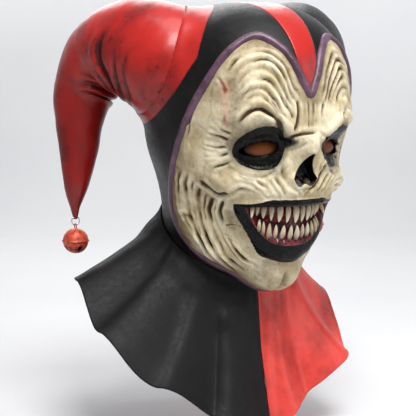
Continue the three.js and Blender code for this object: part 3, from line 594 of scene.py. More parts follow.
# The slit and the dark pit round it as shares of their outlines, the pit's inner corner, and the relief.
def eyeShape(x, z):
    e, f, r = eyeForm, pitForm, rollForm
    a, b = eyePlace(x, z)
    ring = np.hypot(a / e["ringWide"], b / e["ringTall"])
    slit = np.hypot(a / e["slitWide"], b / e["slitTall"])
    height = z - e["height"]
    sideways = np.abs(a) / np.where(a < 0, f["inner"], f["outer"])
    upright = np.abs(height) / np.where(height > 0, f["top"], f["bottom"])
    pit = (sideways ** f["round"] + upright ** f["round"]) ** (1 / f["round"])
    corner = np.hypot((a + f["cornerIn"]) / f["cornerWide"], (height - f["cornerUp"]) / f["cornerTall"])
    sharp = f["sharp"]
    pit = -np.log(np.exp(-sharp * pit) + np.exp(-sharp * (corner + f["cornerLift"]))) / sharp

    def roll(key, share):
        rise, at, wide = r[key]
        return rise * bump(share - at, wide)

    relief = e["lidRise"] * bump(ring - e["lidAt"], e["lidWide"]) + roll("slit", slit)
    relief -= e["sink"] * (1 - ease(e["lidAt"], e["brim"], ring))
    relief += roll("upperLid", pit) * ease(*r["over"], b) + roll("lowerLid", pit) * ease(*r["below"], b)
    frown = ease(*r["browUp"], b) * ease(*r["browOut"], a) * ease(*r["browIn"], a)
    relief += frown * (roll("brow", pit) + roll("browCut", pit))
    relief += roll("bag", pit) * ease(*r["bagDown"], b)
    return a, slit, pit, corner, relief


# The face's wall: a coarser inner layer behind the deepest places of the outer one, joined to it at the rim
# and around both slits, where the edge first runs straight back.
def faceWall(skin, directions, slit, outer):
    rows, columns = skin.shape[:2]
    step = faceForm["innerStep"]
    depth = np.linalg.norm(skin - heart, axis=-1)
    for _ in range(step):
        depth = np.minimum(depth, np.minimum(np.roll(depth, 1, 1), np.roll(depth, -1, 1)))
        depth[1:-1] = np.minimum(depth[1:-1], np.minimum(depth[:-2], depth[2:]))
    back = (heart + directions * (depth - layout["wall"])[..., None])[::step, ::step]
    innerRows, innerColumns = back.shape[:2]
    innerQuads = gridFaces(innerRows, innerColumns, True)
    innerKeep = ~(slit[::step, ::step].ravel()[innerQuads] < eyeForm["innerHole"]).any(axis=1)
    inner = innerQuads[innerKeep][:, ::-1] + rows * columns
    points = np.vstack([skin.reshape(-1, 3), back.reshape(-1, 3)])
    # The first rows meet in one point in the middle of the mouth.
    faces = gatherRow(outer.tolist(), 0, columns) + gatherRow(inner.tolist(), rows * columns, innerColumns)

    outerRim = np.arange(columns) + (rows - 1) * columns
    innerRim = np.arange(innerColumns) + len(points) - innerColumns
    loops = [(outerRim, np.linspace(0, 1, columns, False), innerRim, np.linspace(0, 1, innerColumns, False))]
    edges = [np.array(loneEdges(layer)) for layer in (outer, inner)]
    skinEdges = set(zip(*edges[0].tolist()))
    slitEdges = []
    for side in (-1, 1):
        right, up = points[:, 0] - side * eyeForm["out"], points[:, 2] - eyeForm["height"]
        nearEye = np.hypot(right / eyeForm["ringWide"], up / eyeForm["ringTall"]) < eyeForm["around"]
        (edge, turn), behind = [walkLoop(*e[:, nearEye[e[0]]], np.arctan2(up, right)) for e in edges]
        lip = len(points) + sum(map(len, slitEdges)) + np.arange(len(edge))
        slitEdges.append(points[edge] - eyeForm["edgeBack"] * unit(points[edge] - heart))
        loops += [(edge, turn, lip, turn), (lip, turn, *behind)]
        if (edge[0], edge[1]) in skinEdges:
            skinEdges.add((lip[0], lip[1]))
    for loop in loops:
        wall = stitch(*loop)
        faces += wall if (loop[0][0], loop[0][1]) in skinEdges else [f[::-1] for f in wall]
    return np.vstack([points, *slitEdges]), faces, innerRows * innerColumns, sum(map(len, slitEdges))


# Where the face's colours lie. Pairs are the start and end of a soft step.
facePaint = dict(
    lipThin=0.4, lipSides=(26, 44), lipLeast=0.85, lipLow=(80, 56), lipOut=1.0, lipSoft=0.6,
    lipIn=(1.0, -0.4), blushPx=[(222, 84), (225, 103), (224, 119)], blushWide=4, cleftShade=0.16,
    swellShare=0.6, ridgeMost=3, socket=(1.06, 0.94), cornerShade=0.85, cornerFade=(1.5, 0.5), pitShade=0.5,
    pitFade=(1.3, 1.0), gum=(-0.4, 1.0), cavity=(-1.3, -0.2), lumps=(2.5, 6),
    rim=(0.45, 1), lowShade=0.4, low=(100, 15), sideShade=0.4, side=(24, 70), sideLow=(150, 100),
)


def buildFace():
    directions = faceDirections(faceForm["columns"])
    base = onForm(directions)
    rows, columns = base.shape[:2]
    x, y, z = base[..., 0], base[..., 1], base[..., 2]
    wide = np.abs(x)
    front = ease(*faceForm["front"], y)
    m = mouthInside(x, z)
    width = lipWidth(x, z)
    onLip = ((m < 0) & (m > -width)).astype(float)
    thin = 1 - lipForm["thin"] * ease(*lipForm["thinning"], wide)
    lip = onLip * lipForm["rise"] * np.sin(np.pi * np.clip(-m / width, 0, 1)) * thin
    a, slit, pit, corner, eyeRelief = eyeShape(x, z)
    c = cleftForm
    cleft = -c["depth"] * bump(x, c["wide"]) * bump(z - c["height"], c["tall"])
    relief = front * (lip - mouthForm["depth"] * ease(0, mouthForm["edge"], m) + eyeRelief + cleft)
    skin = base + directions * relief[..., None]

    # Folds, lumps and swellings stay off the lips and out of the pits.
    flat = base.reshape(-1, 3)
    near, groove, washAndShade, swell = strokeRelief(flat)
    clear = (ease(*faceForm["offPit"], pit) * (1 - ease(*faceForm["offLips"], m) * front)).ravel()
    lump = sum(dents(flat, *form) for form in faceForm["lumps"])
    skin += surfaceNormals(skin) * (clear * (groove + lump + swell)).reshape(rows, columns, 1)

    # The open nose: a pocket with rounded lumps in its lower lobes.
    n = noseForm
    hole = noseInside(x, z)
    opened = ease(*n["opening"], hole) * front
    lumps = n["lump"] * bump(np.hypot(wide - n["lumpOut"], z - n["lumpHeight"]), n["lumpWide"])
    skin[..., 1] += opened * (-n["floor"] - lumps - skin[..., 1])
    rim = front * n["rim"] * bump(hole + n["rimOut"], n["rimWide"])
    skin += directions * rim[..., None]

    # Gums: bulges between the teeth and a fold where the rows meet.
    g = gumForm
    gum = ease(0, g["edge"], m)
    for rise, pitch, at in g["bulges"]:
        skin[..., 1] -= gum * rise * np.cos(x * 2 * np.pi / pitch) * bump(z - at, g["wide"])
    skin[..., 1] += gum * g["fold"] * bump(z - g["foldHeight"], g["wide"])

    # Eye slits are cut through, and the points next to a slit move onto its outline.
    inside = (slit < 1) & (front > 0.5)
    grow = np.where(inside, 1 / np.maximum(slit, 1e-3), 1)
    shift = np.where(grow < eyeForm["stretch"], grow, 1)
    skin[..., 0] = np.where(inside, np.sign(x) * (eyeForm["out"] + a * shift), skin[..., 0])
    skin[..., 2] = np.where(inside, eyeForm["height"] + (z - eyeForm["height"]) * shift, skin[..., 2])
    quads = gridFaces(rows, columns, True)
    outer = quads[~inside.ravel()[quads].all(axis=1)]
    points, faces, innerCount, edgeCount = faceWall(skin, directions, slit, outer)

    def padded(value, inner=0.0, edges=0.0):
        return np.concatenate([np.ravel(value), np.full(innerCount, inner), np.full(edgeCount, edges)])

    # A darker rim where the lips end, black sockets, red gums, and a blush on the temples. Painted shade: a
    # soft shadow round each pit and its inner corner, and darkening toward the welt, low on the face and on
    # its lower sides.
    f = facePaint
    band = width * (1 - f["lipThin"] * ease(*f["lipSides"], wide))
    band = band * (f["lipLeast"] + (1 - f["lipLeast"]) * ease(*f["lipLow"], z))
    shade = f["cornerShade"] * ease(*f["cornerFade"], corner) + f["pitShade"] * ease(*f["pitFade"], pit)
    weltwardShade = ease(*f["rim"], np.linspace(0, 1, rows))[:, None] ** 2
    lowSideShade = f["sideShade"] * ease(*f["side"], wide) * ease(*f["sideLow"], z)
    values = dict(
        # Darkening in the grooves, partly painted shade, and painted shade in the chin's cleft.
        crease=padded(np.maximum(washAndShade * clear, -f["cleftShade"] * cleft.ravel() * front.ravel())),
        ridge=padded(np.clip(groove + lump + f["swellShare"] * swell, -f["ridgeMost"], f["ridgeMost"])),
        socket=padded(ease(*f["socket"], pit) * front, edges=1.0),
        shadow=padded(shade * front),
        lip=padded(ease(-band - f["lipOut"], -band + f["lipSoft"], m) * ease(*f["lipIn"], m) * front),
        gum=padded(ease(*f["gum"], m) * front),
        cavity=padded(ease(*f["cavity"], hole) * front),
        lumps=padded(ease(*f["lumps"], lumps) * front),
        blush=padded(bump(lineGap(near, fromPixels(f["blushPx"]))[0], f["blushWide"])),
        rim=padded(weltwardShade + f["lowShade"] * ease(*f["low"], z) + lowSideShade),
        inner=padded(np.zeros(rows * columns), inner=1.0),
    )
    return addMesh("faceSkin", points, faces, values)


# Sideways axes carried along a line without twist.
def carriedAxes(line, start):
    tangent = unit(np.gradient(line, axis=0))
    side = np.empty_like(line)
    side[0] = unit(start - tangent[0] * (start @ tangent[0]))
    for i in range(1, len(line)):
        side[i] = unit(side[i - 1] - tangent[i] * (side[i - 1] @ tangent[i]))
    return side, np.cross(tangent, side)


# A rolled welt that parts into two low down.
def buildWelt():
    w = weltForm
    line = weltLine - unit(weltLine - heart) * w["sink"]
    tangent = unit(np.roll(line, -1, 0) - np.roll(line, 1, 0))
    side = unit(np.cross(tangent, unit(line - heart)))
    out = np.cross(side, tangent)
    angle = turns(w["sides"])
    ring = line[:, None] + np.zeros((1, w["sides"], 1))
    away = spokes(angle, out, side)
    low = ease(*w["twin"], line[:, 2])[:, None]
    cut = w["twinCut"] * bump(wrapped(angle)[None], w["twinWide"])
    twin = low * (-w["twinSquash"] * np.cos(2 * angle)[None] - cut)
    dent = dents(ring + away * w["fineRound"], *w["fine"]) + dents(ring, *w["broad"])
    points = ring + away * (w["radius"] + twin + dent)[..., None]
    faces = gridFaces(len(line) + 1, w["sides"], True) % (len(line) * w["sides"])
    ridge = np.broadcast_to(np.cos(angle)[None], points.shape[:2])
    return addMesh("weltRoll", points, faces[:, ::-1], dict(ridge=ridge))


# Horns: their middle line with its radius, root to tip. Creases lie inside the bend, pleats face a direction;
# both have a place along the horn, a depth and a width.
hornForm = dict(
    sides=150,
    steps=250,
    fillet=16,
    buried=-8,
    root=(4, 16),
    bend=(0.25, 0.9),
    bendToward=(0, -0.5, -0.8),
    wobble=[(0.012, 3, 1.3), (0.008, 5, 1)],  # height, count round the horn and phase
    under=(0.25, 0.45),
    hang=(0.42, 0.75),
    facing=(0.5, 0.92),
    fadeRadius=20,
    # Dents have a height and a scale, and the space they are drawn in widens round the horn.
    dent=(1.5, 26), dentRound=30, pull=(0.9, 16), pullRound=40, pullAlong=90, rough=(0.35, 5), roughRound=20,
    creaseFull=3,
    line=[
        (45, 16, 198, 56), (71, 30, 219, 58), (94, 63, 234, 52), (112, 98, 226, 41), (125, 115, 194, 32),
        (132, 112, 163, 24.5), (137, 105, 130, 18.5), (143, 99, 95, 11.5), (144.5, 98, 76, 4.8),
        (144.5, 97.5, 64, 1.9),
    ],
    creases=[
        (0.35, 2.4, 0.02), (0.44, 2.6, 0.016), (0.5, 4.6, 0.018), (0.56, 3.8, 0.013), (0.64, 1.6, 0.014),
    ],
    creaseBorder=(0.6, 1.9, 1.1),
    pleats=[
        (0.285, 5.0, 0.011, (-0.45, -0.75, -0.4)), (0.215, 3.4, 0.012, (-0.3, -0.6, -0.7)),
        (0.175, 2.4, 0.01, (-0.3, -0.7, -0.55)), (0.25, 0.7, 0.016, (-0.4, -0.4, 0.8)),
        (0.485, 4.2, 0.011, (0.7, -0.6, -0.35)), (0.55, 3.6, 0.01, (0.75, -0.6, -0.2)),
    ],
    pleatBorder=(0.5, 2, 1.2),
)
hornPoints = [(-x, y, z) for x, y, z, _ in hornForm["line"]]
hornRadii = [radius for *_, radius in hornForm["line"]]
hornLine, hornRadius = evenCurve(hornPoints, hornForm["steps"], False, hornRadii)


# Distance to the horn on the wearer's right, and to its mirror image on the left.
def hornGap(p, coarse=4):
    q = p.copy()
    q[:, 0] = -np.abs(q[:, 0])
    best = np.full(len(q), layout["farAway"])
    for middle, radius in zip(hornLine[::coarse], hornRadius[::coarse]):
        best = np.minimum(best, np.linalg.norm(q - middle, axis=1) - radius)
    return best


# A fold pressed in beside a raised border.
def pinch(gap, wide, border):
    raised, at, spread = border
    return bump(gap, wide) - raised * bump(gap - at * wide, spread * wide)


def buildHorn(name, side, seed):
    h = hornForm
    angle = turns(h["sides"])
    away = spokes(angle, *carriedAxes(hornLine, np.array([0.0, 0.0, 1.0])))
    along = np.linspace(0, 1, len(hornLine))[:, None]
    bend = ease(*h["bend"], away @ h["bendToward"])
    wobble = sum(high * np.sin(count * angle + phase * seed) for high, count, phase in h["wobble"])
    crease = np.zeros(away.shape[:2])
    for at, deep, wide in h["creases"]:
        crease += deep * pinch(along + wobble - at, wide, h["creaseBorder"])
    crease = crease * bend
    for at, deep, wide, toward in h["pleats"]:
        facing = ease(*h["facing"], away @ unit(np.array(toward)))
        crease += deep * facing * pinch(along + wobble - at, wide, h["pleatBorder"])
    fade = np.clip(hornRadius[:, None] / h["fadeRadius"], 0, 1)
    middle = hornLine[:, None] + np.zeros_like(away)
    lengthwise = away * h["pullRound"] + along[..., None] * [0, 0, h["pullAlong"]]
    pull = dents(lengthwise, *h["pull"], seed + 1) * ease(*h["hang"], along)
    dent = fade * (dents(middle + away * h["dentRound"], *h["dent"], seed) + pull)
    rough = fade * dents(middle + away * h["roughRound"], *h["rough"], seed + 2)
    relief = dent + rough - crease * fade
    # The root runs straight into the hood, which swells up to meet it.
    flat = (middle + away * hornRadius[:, None, None]).reshape(-1, 3)
    depth = headGap(flat)
    flat = flat + away.reshape(-1, 3) * (relief.ravel() * ease(*h["root"], depth))[:, None]
    quads = gridFaces(len(hornLine), h["sides"], True)
    quads = quads[~(depth < h["buried"])[quads].all(axis=1)]
    last = (len(hornLine) - 1) * h["sides"]
    faces = quads.tolist() + [list(range(last, last + h["sides"]))]
    # The crease and under values also darken the red paint: painted shade in the folds and under the bend.
    values = dict(
        crease=np.clip(crease * fade / h["creaseFull"], 0, 1),
        along=np.broadcast_to(along, away.shape[:2]),
        under=bend * ease(*h["under"], along),
        ridge=dent + rough,
    )
    return addMesh(name, flat * [-side, 1, 1], faces if side < 0 else [f[::-1] for f in faces], values)


# The hood runs from the welt over the crown to the neck ring; the stripe lies along its middle.
hoodForm = dict(
    columns=330, rows=120, stripeColumns=18, stripeHalf=0.030, stripeGap=0.0008, stripePoint=2.5, tuck=2.2,
    neckBack=45, overWide=0.8, overLean=0.12, overBack=0.6, overAhead=0.03,
    swellFar=10.0, swellMost=9, halvings=8, coarse=6, buried=-6, edge=(0, 0.05), neck=(110, 40),
    nape=(-20, 30), drape=(1.6, 7, 53), drapeStretch=(0.3, 0.3, 1), ripples=[(0.8, 24, 51), (0.25, 7, 52)],
    paintReach=13, paintZero=30, paintWaver=(0.5, 12, 54),
)
neckForm = dict(side=67, front=60, back=58, heightMid=54, heightSwing=42)


def neckPoint(turn):
    n, c = neckForm, np.cos(turn)
    y = hoodForm["neckBack"] - np.where(c > 0, n["front"], n["back"]) * c
    return np.stack([-n["side"] * np.sin(turn), y, n["heightMid"] - n["heightSwing"] * c], -1)


def hoodDirections(t, rows):
    h = hoodForm
    signed = np.where(t > 0.5, t - 1, t)
    half = h["stripeHalf"]
    share = np.clip(np.abs(signed) / half, 0, 1)[:, None]
    corner = besideWelt(np.where(signed < 0, -half, half), h["tuck"])
    point = unit(alongWelt(np.array(0.0)) + [0, 0, h["stripePoint"]] - heart)
    middle = unit(point * (1 - share) + corner * share)
    rim = np.where(np.abs(signed)[:, None] > half, besideWelt(t, h["tuck"]), middle)
    turn = 2 * np.pi * t
    neck = unit(neckPoint(np.pi - turn) - heart)
    back = h["overLean"] * np.cos(turn) + h["overBack"] * np.sin(turn) ** 2 - h["overAhead"]
    over = unit(np.stack([-h["overWide"] * np.sin(turn), back, np.cos(turn)], -1))
    pull = 2 * over - 0.5 * rim - 0.5 * neck
    s = np.linspace(0, 1, rows)[:, None, None]
    return unit(rim * (1 - s) ** 2 + pull * 2 * s * (1 - s) + neck * s * s)


# The paint line between black and red on the hood's right side, as photo pixels.
paintLine = [(218, 8), (208, 30), (196, 55), (185, 75), (165, 100), (146, 118)]


def buildHood(name, start, stop, columns):
    h = hoodForm
    directions = hoodDirections(np.linspace(start, stop, columns) % 1, h["rows"])
    base = onForm(directions)
    shape = base.shape[:2]
    flat, out = base.reshape(-1, 3), directions.reshape(-1, 3)
    horn = hornGap(flat)
    # The hood swells up to the horns, as far as their blended form reaches.
    low, high = np.zeros(len(flat)), np.full(len(flat), h["swellFar"])
    for _ in range(h["halvings"]):
        half = (low + high) / 2
        within = blendMin(half, hornGap(flat + out * half[:, None], h["coarse"]), hornForm["fillet"]) < 0
        low, high = np.where(within, half, low), np.where(within, high, half)
    edge = ease(*h["edge"], np.linspace(0, 1, shape[0]))[:, None]
    neck = ease(*h["neck"], base[..., 2]) * ease(*h["nape"], base[..., 1])
    drape = dents(base * h["drapeStretch"], *h["drape"]) * neck
    ripple = edge * (sum(dents(base, *form) for form in h["ripples"]) + drape)
    flat = flat + out * (np.minimum(low, h["swellMost"]) + ripple.ravel())[:, None]
    quads = gridFaces(*shape, False)
    quads = quads[~(horn[quads] < h["buried"]).all(axis=1)]
    # Red runs from the horn's root to the paint line, measured from a plane through the line.
    line = fromPixels(paintLine)
    a, b, c = line[0], line[len(line) // 2], line[-1]
    across = unit(np.cross(b - a, c - a))
    across = across * np.sign(across[1])
    red = np.minimum((flat - b) @ across, h["paintReach"] - horn) + dents(flat, *h["paintWaver"])
    zero = h["paintZero"]
    painted = np.where(flat[:, 0] < 0, np.clip(red, -zero, zero) + zero, 0)
    return thicken(addMesh(name, flat, quads, dict(red=painted, ridge=ripple)), layout["wall"])


# The collar hangs from the neck ring to a hem that differs all round: turn, reach, height and power of the
# curve down to it. Folds and creases have a turn, a depth and a width.
collarForm = dict(
    wall=2.0,
    columns=230,
    rows=110,
    seamTurn=0.15,
    topRise=1.5,
    sway=6, swayCount=3, creaseIn=(0, 0.5),
    gather=0.3, gatherCount=30, gatherSway=2, gatherSwayCount=9, gatherAt=0.1, gatherWide=0.12,
    ripples=[(1.3, 1.6, 20), (0.4, 0.7, 7)], rippleIn=(0.02, 0.15),  # height, more at the throat, scale
    throatAt=0.22, throatWide=0.16,
    hemRoll=0.8, hemWide=0.02,
    hem=[
        (0, 90, -143, 1.5), (35, 112, -118, 1.6), (55, 150, -84, 1.6), (78, 160, -36, 1.5),
        (98, 158, 6, 1.25), (140, 120, -10, 1.4), (180, 95, -30, 1.4), (220, 112, -20, 1.6),
        (265, 126, -22, 1.8), (298, 124, -78, 1.8), (330, 92, -116, 1.6), (360, 90, -143, 1.5),
    ],
    folds=[(22, 5, 9), (48, -4, 8), (66, 4, 8), (306, 6, 7), (322, -5, 8), (342, 4, 8)],
    creases=[
        (12, 0.6, 7), (34, 1.8, 7), (58, -1.6, 7), (84, 1.8, 8), (112, -2, 9), (150, 2, 9), (205, -2, 9),
        (248, 2, 9), (284, -1.6, 7), (314, 1.6, 5), (332, -1.8, 5), (351, 1.2, 4),
    ],
)


def hemValue(turn, column):
    rows = collarForm["hem"]
    turns = np.array([r[0] for r in rows], float)
    data = np.array([r[column] for r in rows], float)
    i = np.clip(np.searchsorted(turns, turn, side="right") - 1, 0, len(rows) - 2)
    share = ease(0, 1, (turn - turns[i]) / (turns[i + 1] - turns[i]))
    return data[i] * (1 - share) + data[i + 1] * share


def buildCollar(name, start, stop, seed):
    f = collarForm
    turn = np.linspace(start, stop, f["columns"])
    v = np.linspace(0, 1, f["rows"])[:, None]
    angle = np.radians(turn)
    neck = onForm(unit(neckPoint(angle) - heart))
    neckReach = np.hypot(neck[:, 0], neck[:, 1] - hoodForm["neckBack"])
    fold = sum(d * bump(turn - t, w) for t, d, w in f["folds"])
    crease = 0
    for at, deep, wide in f["creases"]:
        sway = f["sway"] * np.sin(f["swayCount"] * v + at)
        crease = crease + deep * bump(turn - at - sway, wide)
    gather = angle * f["gatherCount"] + f["gatherSway"] * np.sin(angle * f["gatherSwayCount"])
    gather = f["gather"] * np.sin(gather) * bump(v - f["gatherAt"], f["gatherWide"])
    share = v ** hemValue(turn, 3)
    reachOut = neckReach * (1 - share) + hemValue(turn, 1) * share
    reachOut = reachOut + fold * v + crease * ease(*f["creaseIn"], v) + gather
    x, y = -reachOut * np.sin(angle), hoodForm["neckBack"] - reachOut * np.cos(angle)
    z = (neck[:, 2] + f["topRise"]) * (1 - v) + hemValue(turn, 2) * v
    points = np.stack([x, y, z], -1)
    throat = bump(v - f["throatAt"], f["throatWide"])
    ripple = 0
    for i, (high, more, scale) in enumerate(f["ripples"]):
        ripple = ripple + (high + more * throat) * wander(points, scale, seed + i)
    ripple = ease(*f["rippleIn"], v) * ripple
    out = np.stack([-np.sin(angle), -np.cos(angle), 0 * angle], -1)
    roll = bump(1 - v, f["hemWide"]) * f["hemRoll"]
    points = points + out * ripple[..., None] + out * roll[..., None]
    faces = gridFaces(*points.shape[:2], False)
    return thicken(addMesh(name, points, faces, dict(ridge=ripple + crease)), f["wall"])


toothForm = dict(
    sink=1.2, lean=2.6, arc=1.15, narrowing=0.38, big=1.06, small=0.88, seed=100, sides=18, rows=20,
    half=0.47, neck=0.74, belly=0.4, taper=2.4, blunt=0.7, grooves=[(0.1, 1.1, 0.28), (0.08, 2.1, 0.25)],
    bend=0.06, bendRange=(0.5, 1.4), sideways=0.6, flat=0.82, flatWidth=6, flatLeast=0.75,
)
toothRows = [
    dict(name="tooth_upper", count=13, spread=41, root=84.5, rootRise=-1, tip=65, tipRise=11, wide=7.4),
    dict(name="tooth_lower", count=12, spread=34, root=49.5, rootRise=12, tip=63, tipRise=6.5, wide=6.8),
]


# A smooth curved tooth from a root point to a tip, grooved along its length.
def buildTooth(name, root, tip, out, width, seed):
    f = toothForm
    r = np.random.default_rng(seed)
    sides, rows = f["sides"], f["rows"]
    length = np.linalg.norm(tip - root)
    down = (tip - root) / length
    side = unit(np.cross(down, out))
    out = np.cross(side, down)
    t = np.linspace(0, 1, rows)[:, None]
    angle = turns(sides)
    neck = f["neck"] + (1 - f["neck"]) * ease(0, f["belly"], t)
    half = width * f["half"] * neck * (1 - t ** f["taper"]) ** f["blunt"]
    half = half * (1 - sum(deep * bump(wrapped(angle - at), wide) for deep, at, wide in f["grooves"]))
    bend = f["bend"] * length * np.sin(np.pi * t) * r.uniform(*f["bendRange"])
    across = np.cos(angle) * half + r.uniform(-f["sideways"], f["sideways"]) * t ** 2
    ahead = np.sin(angle) * half * (f["flat"] / max(width / f["flatWidth"], f["flatLeast"])) + bend
    points = root + across[..., None] * side + ahead[..., None] * out + (t * length)[..., None] * down
    faces = gatherRow(gridFaces(rows, sides, True)[:, ::-1].tolist(), (rows - 1) * sides, sides)
    faces.append(list(range(sides)))
    values = dict(along=np.broadcast_to(t, points.shape[:2]), tone=np.full(points.shape[:2], r.uniform(0, 1)))
    return addMesh(name, points, faces, values)


def gumPoint(x, z, lift):
    d = frontDirection(np.array([x]), np.array([z]))
    p = onForm(d)
    m = mouthInside(p[:, 0], p[:, 2])
    relief = -mouthForm["depth"] * ease(0, mouthForm["edge"], m)
    return (p + d * (relief + lift)[:, None])[0], d[0]


def buildTeeth(material):
    f = toothForm
    for row in toothRows:
        for i in range(row["count"]):
            across = i / (row["count"] - 1) * 2 - 1
            big = f["small"] if i % 2 else f["big"]
            x = row["spread"] * math.sin(across * f["arc"]) / math.sin(f["arc"])
            root, _ = gumPoint(x, row["root"] + row["rootRise"] * across ** 2, -f["sink"])
            tip, out = gumPoint(x, row["tip"] + row["tipRise"] * across ** 2, f["lean"] + big)
            width = row["wide"] * big * (1 - f["narrowing"] * abs(across))
            name = f"{row['name']}_{i + 1:02d}"
            tooth = buildTooth("skin_" + name, root, tip, out, width, f["seed"] + i)
            dress(tooth, material, "mask", name)


lensForm = dict(rows=28, columns=48, back=1.2, margin=2.5, dome=5.5, pole=0.001, shadeIn=1.5, shadeTall=1.1)


def buildLens(name, side):
    e, f = eyeForm, lensForm
    d = frontDirection(np.array([side * float(e["out"])]), np.array([float(e["height"])]))
    seat = (onForm(d) + d * (-e["sink"] - layout["wall"] - f["back"]))[0]
    turn = math.atan2(d[0, 0], -d[0, 1])
    rows, columns = f["rows"], f["columns"]
    polar = np.linspace(f["pole"], np.pi * 0.5, rows)[:, None]
    around = turns(columns)
    lx = (e["slitWide"] + f["margin"]) * np.sin(polar) * np.cos(around)
    lz = (e["slitTall"] + f["margin"]) * np.sin(polar) * np.sin(around)
    ly = -f["dome"] * np.cos(polar) + 0 * around
    x = lx * math.cos(turn) - ly * math.sin(turn)
    y = lx * math.sin(turn) + ly * math.cos(turn)
    points = seat + np.stack([x, y, lz], -1)
    ends = [list(range((rows - 1) * columns, rows * columns)), list(range(columns))[::-1]]
    # Distance from the lens's middle, which sets its painted shade: darker toward the rim under the lids.
    lensShade = np.hypot(lx - side * f["shadeIn"], lz * f["shadeTall"])
    return addMesh(name, points, gridFaces(rows, columns, True).tolist() + ends, dict(lensShade=lensShade))


# Bells and rings hang at the horns' tips.
tipForm = dict(out=144.5, back=97.5)
hoopForm = dict(sides=14, steps=48)
ringForm = dict(radius=4.2, wire=0.55, top=66.4)
shankForm = dict(radius=2.4, wire=0.55, height=56.85)
bellForm = dict(
    height=42, radius=12.9, wall=0.8, rows=96, columns=128, span=0.998, rimReach=1.2, rimThick=1.1,
    rimSoft=0.62, line=0.25, lineAt=0.62, lineWide=0.05, slot=2.0, slotReach=10.6, slotTop=5.8, hole=2.3,
    holeDrop=6.7, cutSlack=0.25, cutNear=0.75, probe=0.05, dents=(0.12, 4, 61),
)


def hoop(middle, form, facing):
    radius, wire, sides, steps = form["radius"], form["wire"], hoopForm["sides"], hoopForm["steps"]
    a, b = turns(steps)[:, None], turns(sides)
    level = (radius + wire * np.cos(b))[None] * np.ones((steps, 1))
    thick = np.broadcast_to(wire * np.sin(b)[None], level.shape)
    flat = np.stack([level * np.cos(a), thick, level * np.sin(a)], -1)
    if facing == "x":
        flat = flat[..., [1, 0, 2]]
    faces = gridFaces(steps + 1, sides, True) % (steps * sides)
    return (flat + middle).reshape(-1, 3), faces


# How far a point of the bell lies outside its crossed slots and the round holes at their ends.
def bellCutGap(p):
    b = bellForm
    x, y, z = p[..., 0], p[..., 1], p[..., 2]
    hole = np.minimum(np.hypot(x, z + b["holeDrop"]), np.hypot(y, z + b["holeDrop"])) - b["hole"]
    ends = np.maximum(np.hypot(x, y) - b["slotReach"], z + b["slotTop"])
    slot = np.maximum(np.minimum(np.abs(x), np.abs(y)) - b["slot"] / 2, ends)
    return np.minimum(hole, slot)


def buildBell(name, side):
    b = bellForm
    polar = np.linspace(-0.5, 0.5, b["rows"])[:, None] * np.pi * b["span"]
    around = turns(b["columns"])
    swell = b["rimReach"] * bump(b["radius"] * np.sin(polar), b["rimThick"] * b["rimSoft"])
    lines = sum(b["line"] * bump(polar + at, b["lineWide"]) for at in (-b["lineAt"], b["lineAt"]))
    radius = b["radius"] + swell - lines
    level = radius * np.cos(polar)
    upward = radius * np.sin(polar) + 0 * around
    points = np.stack([level * np.cos(around), level * np.sin(around), upward], -1).reshape(-1, 3)
    count = len(points)
    gap = bellCutGap(points)
    quads = gridFaces(b["rows"], b["columns"], True)[:, ::-1]
    quads = quads[(gap[quads] > -b["cutSlack"]).all(axis=1)]

    # Points along a cut move onto its line, then the shell gets its wall.
    start, end = loneEdges(quads)
    rim = np.unique(start)
    rim = rim[np.abs(gap[rim]) < b["cutNear"]]
    steps = b["probe"] * np.eye(3)
    rises = [bellCutGap(points[rim] + step) - bellCutGap(points[rim] - step) for step in steps]
    points[rim] -= np.stack(rises, -1) / (2 * b["probe"]) * gap[rim][:, None]
    points = points * (1 + dents(points, *b["dents"]) / b["radius"])[:, None]
    inside = points * (1 - b["wall"] / b["radius"])
    lip = np.stack([end, start, start + count, end + count], -1)
    shankPoints, shankFaces = hoop(np.array([0, 0, shankForm["height"] - b["height"]]), shankForm, "x")
    middle = np.array([side * tipForm["out"], tipForm["back"], b["height"]])
    edge = (swell / b["rimReach"] + 0 * around).ravel()
    # Painted shade: darker low on the bell and all over its inside.
    under = ease(0, -b["radius"], points[:, 2])
    bare = np.zeros(len(shankPoints))
    values = dict(
        edge=np.concatenate([edge, 0 * edge, bare + 1]), under=np.concatenate([under, 0 * under + 1, bare])
    )
    faces = np.vstack([quads, quads[:, ::-1] + count, lip, shankFaces + 2 * count])
    return addMesh(name, np.vstack([points, inside, shankPoints]) + middle, faces, values)


def buildRing(name, side):
    middle = np.array([side * tipForm["out"], tipForm["back"], ringForm["top"] - ringForm["radius"]])
    return addMesh(name, *hoop(middle, ringForm, "y"))


# Shader maths on sockets, written with ordinary operators.
class Signal:
    def __init__(self, paint, socket):
        self.paint, self.socket = paint, socket

    def math(self, operation, a, b=0.0, clamp=False):
        return self.paint.node("ShaderNodeMath", dict(operation=operation, use_clamp=clamp), {0: a, 1: b})

    def __add__(self, other):
        return self.math("ADD", self, other)

    def __sub__(self, other):
        return self.math("SUBTRACT", self, other)

    def __mul__(self, other):
        return self.math("MULTIPLY", self, other)

    def __truediv__(self, other):
        return self.math("DIVIDE", self, other)

    def __pow__(self, other):
        return self.math("POWER", self, other)

    def __rsub__(self, other):
        return self.math("SUBTRACT", other, self)

    def __rtruediv__(self, other):
        return self.math("DIVIDE", other, self)

    __radd__ = __add__
    __rmul__ = __mul__

    def clamp(self):
        return self.math("ADD", self, 0.0, True)

    def step(self, low, high):
        inputs = {"Value": self, "From Min": low, "From Max": high}
        return self.paint.node("ShaderNodeMapRange", dict(interpolation_type="SMOOTHSTEP"), inputs)


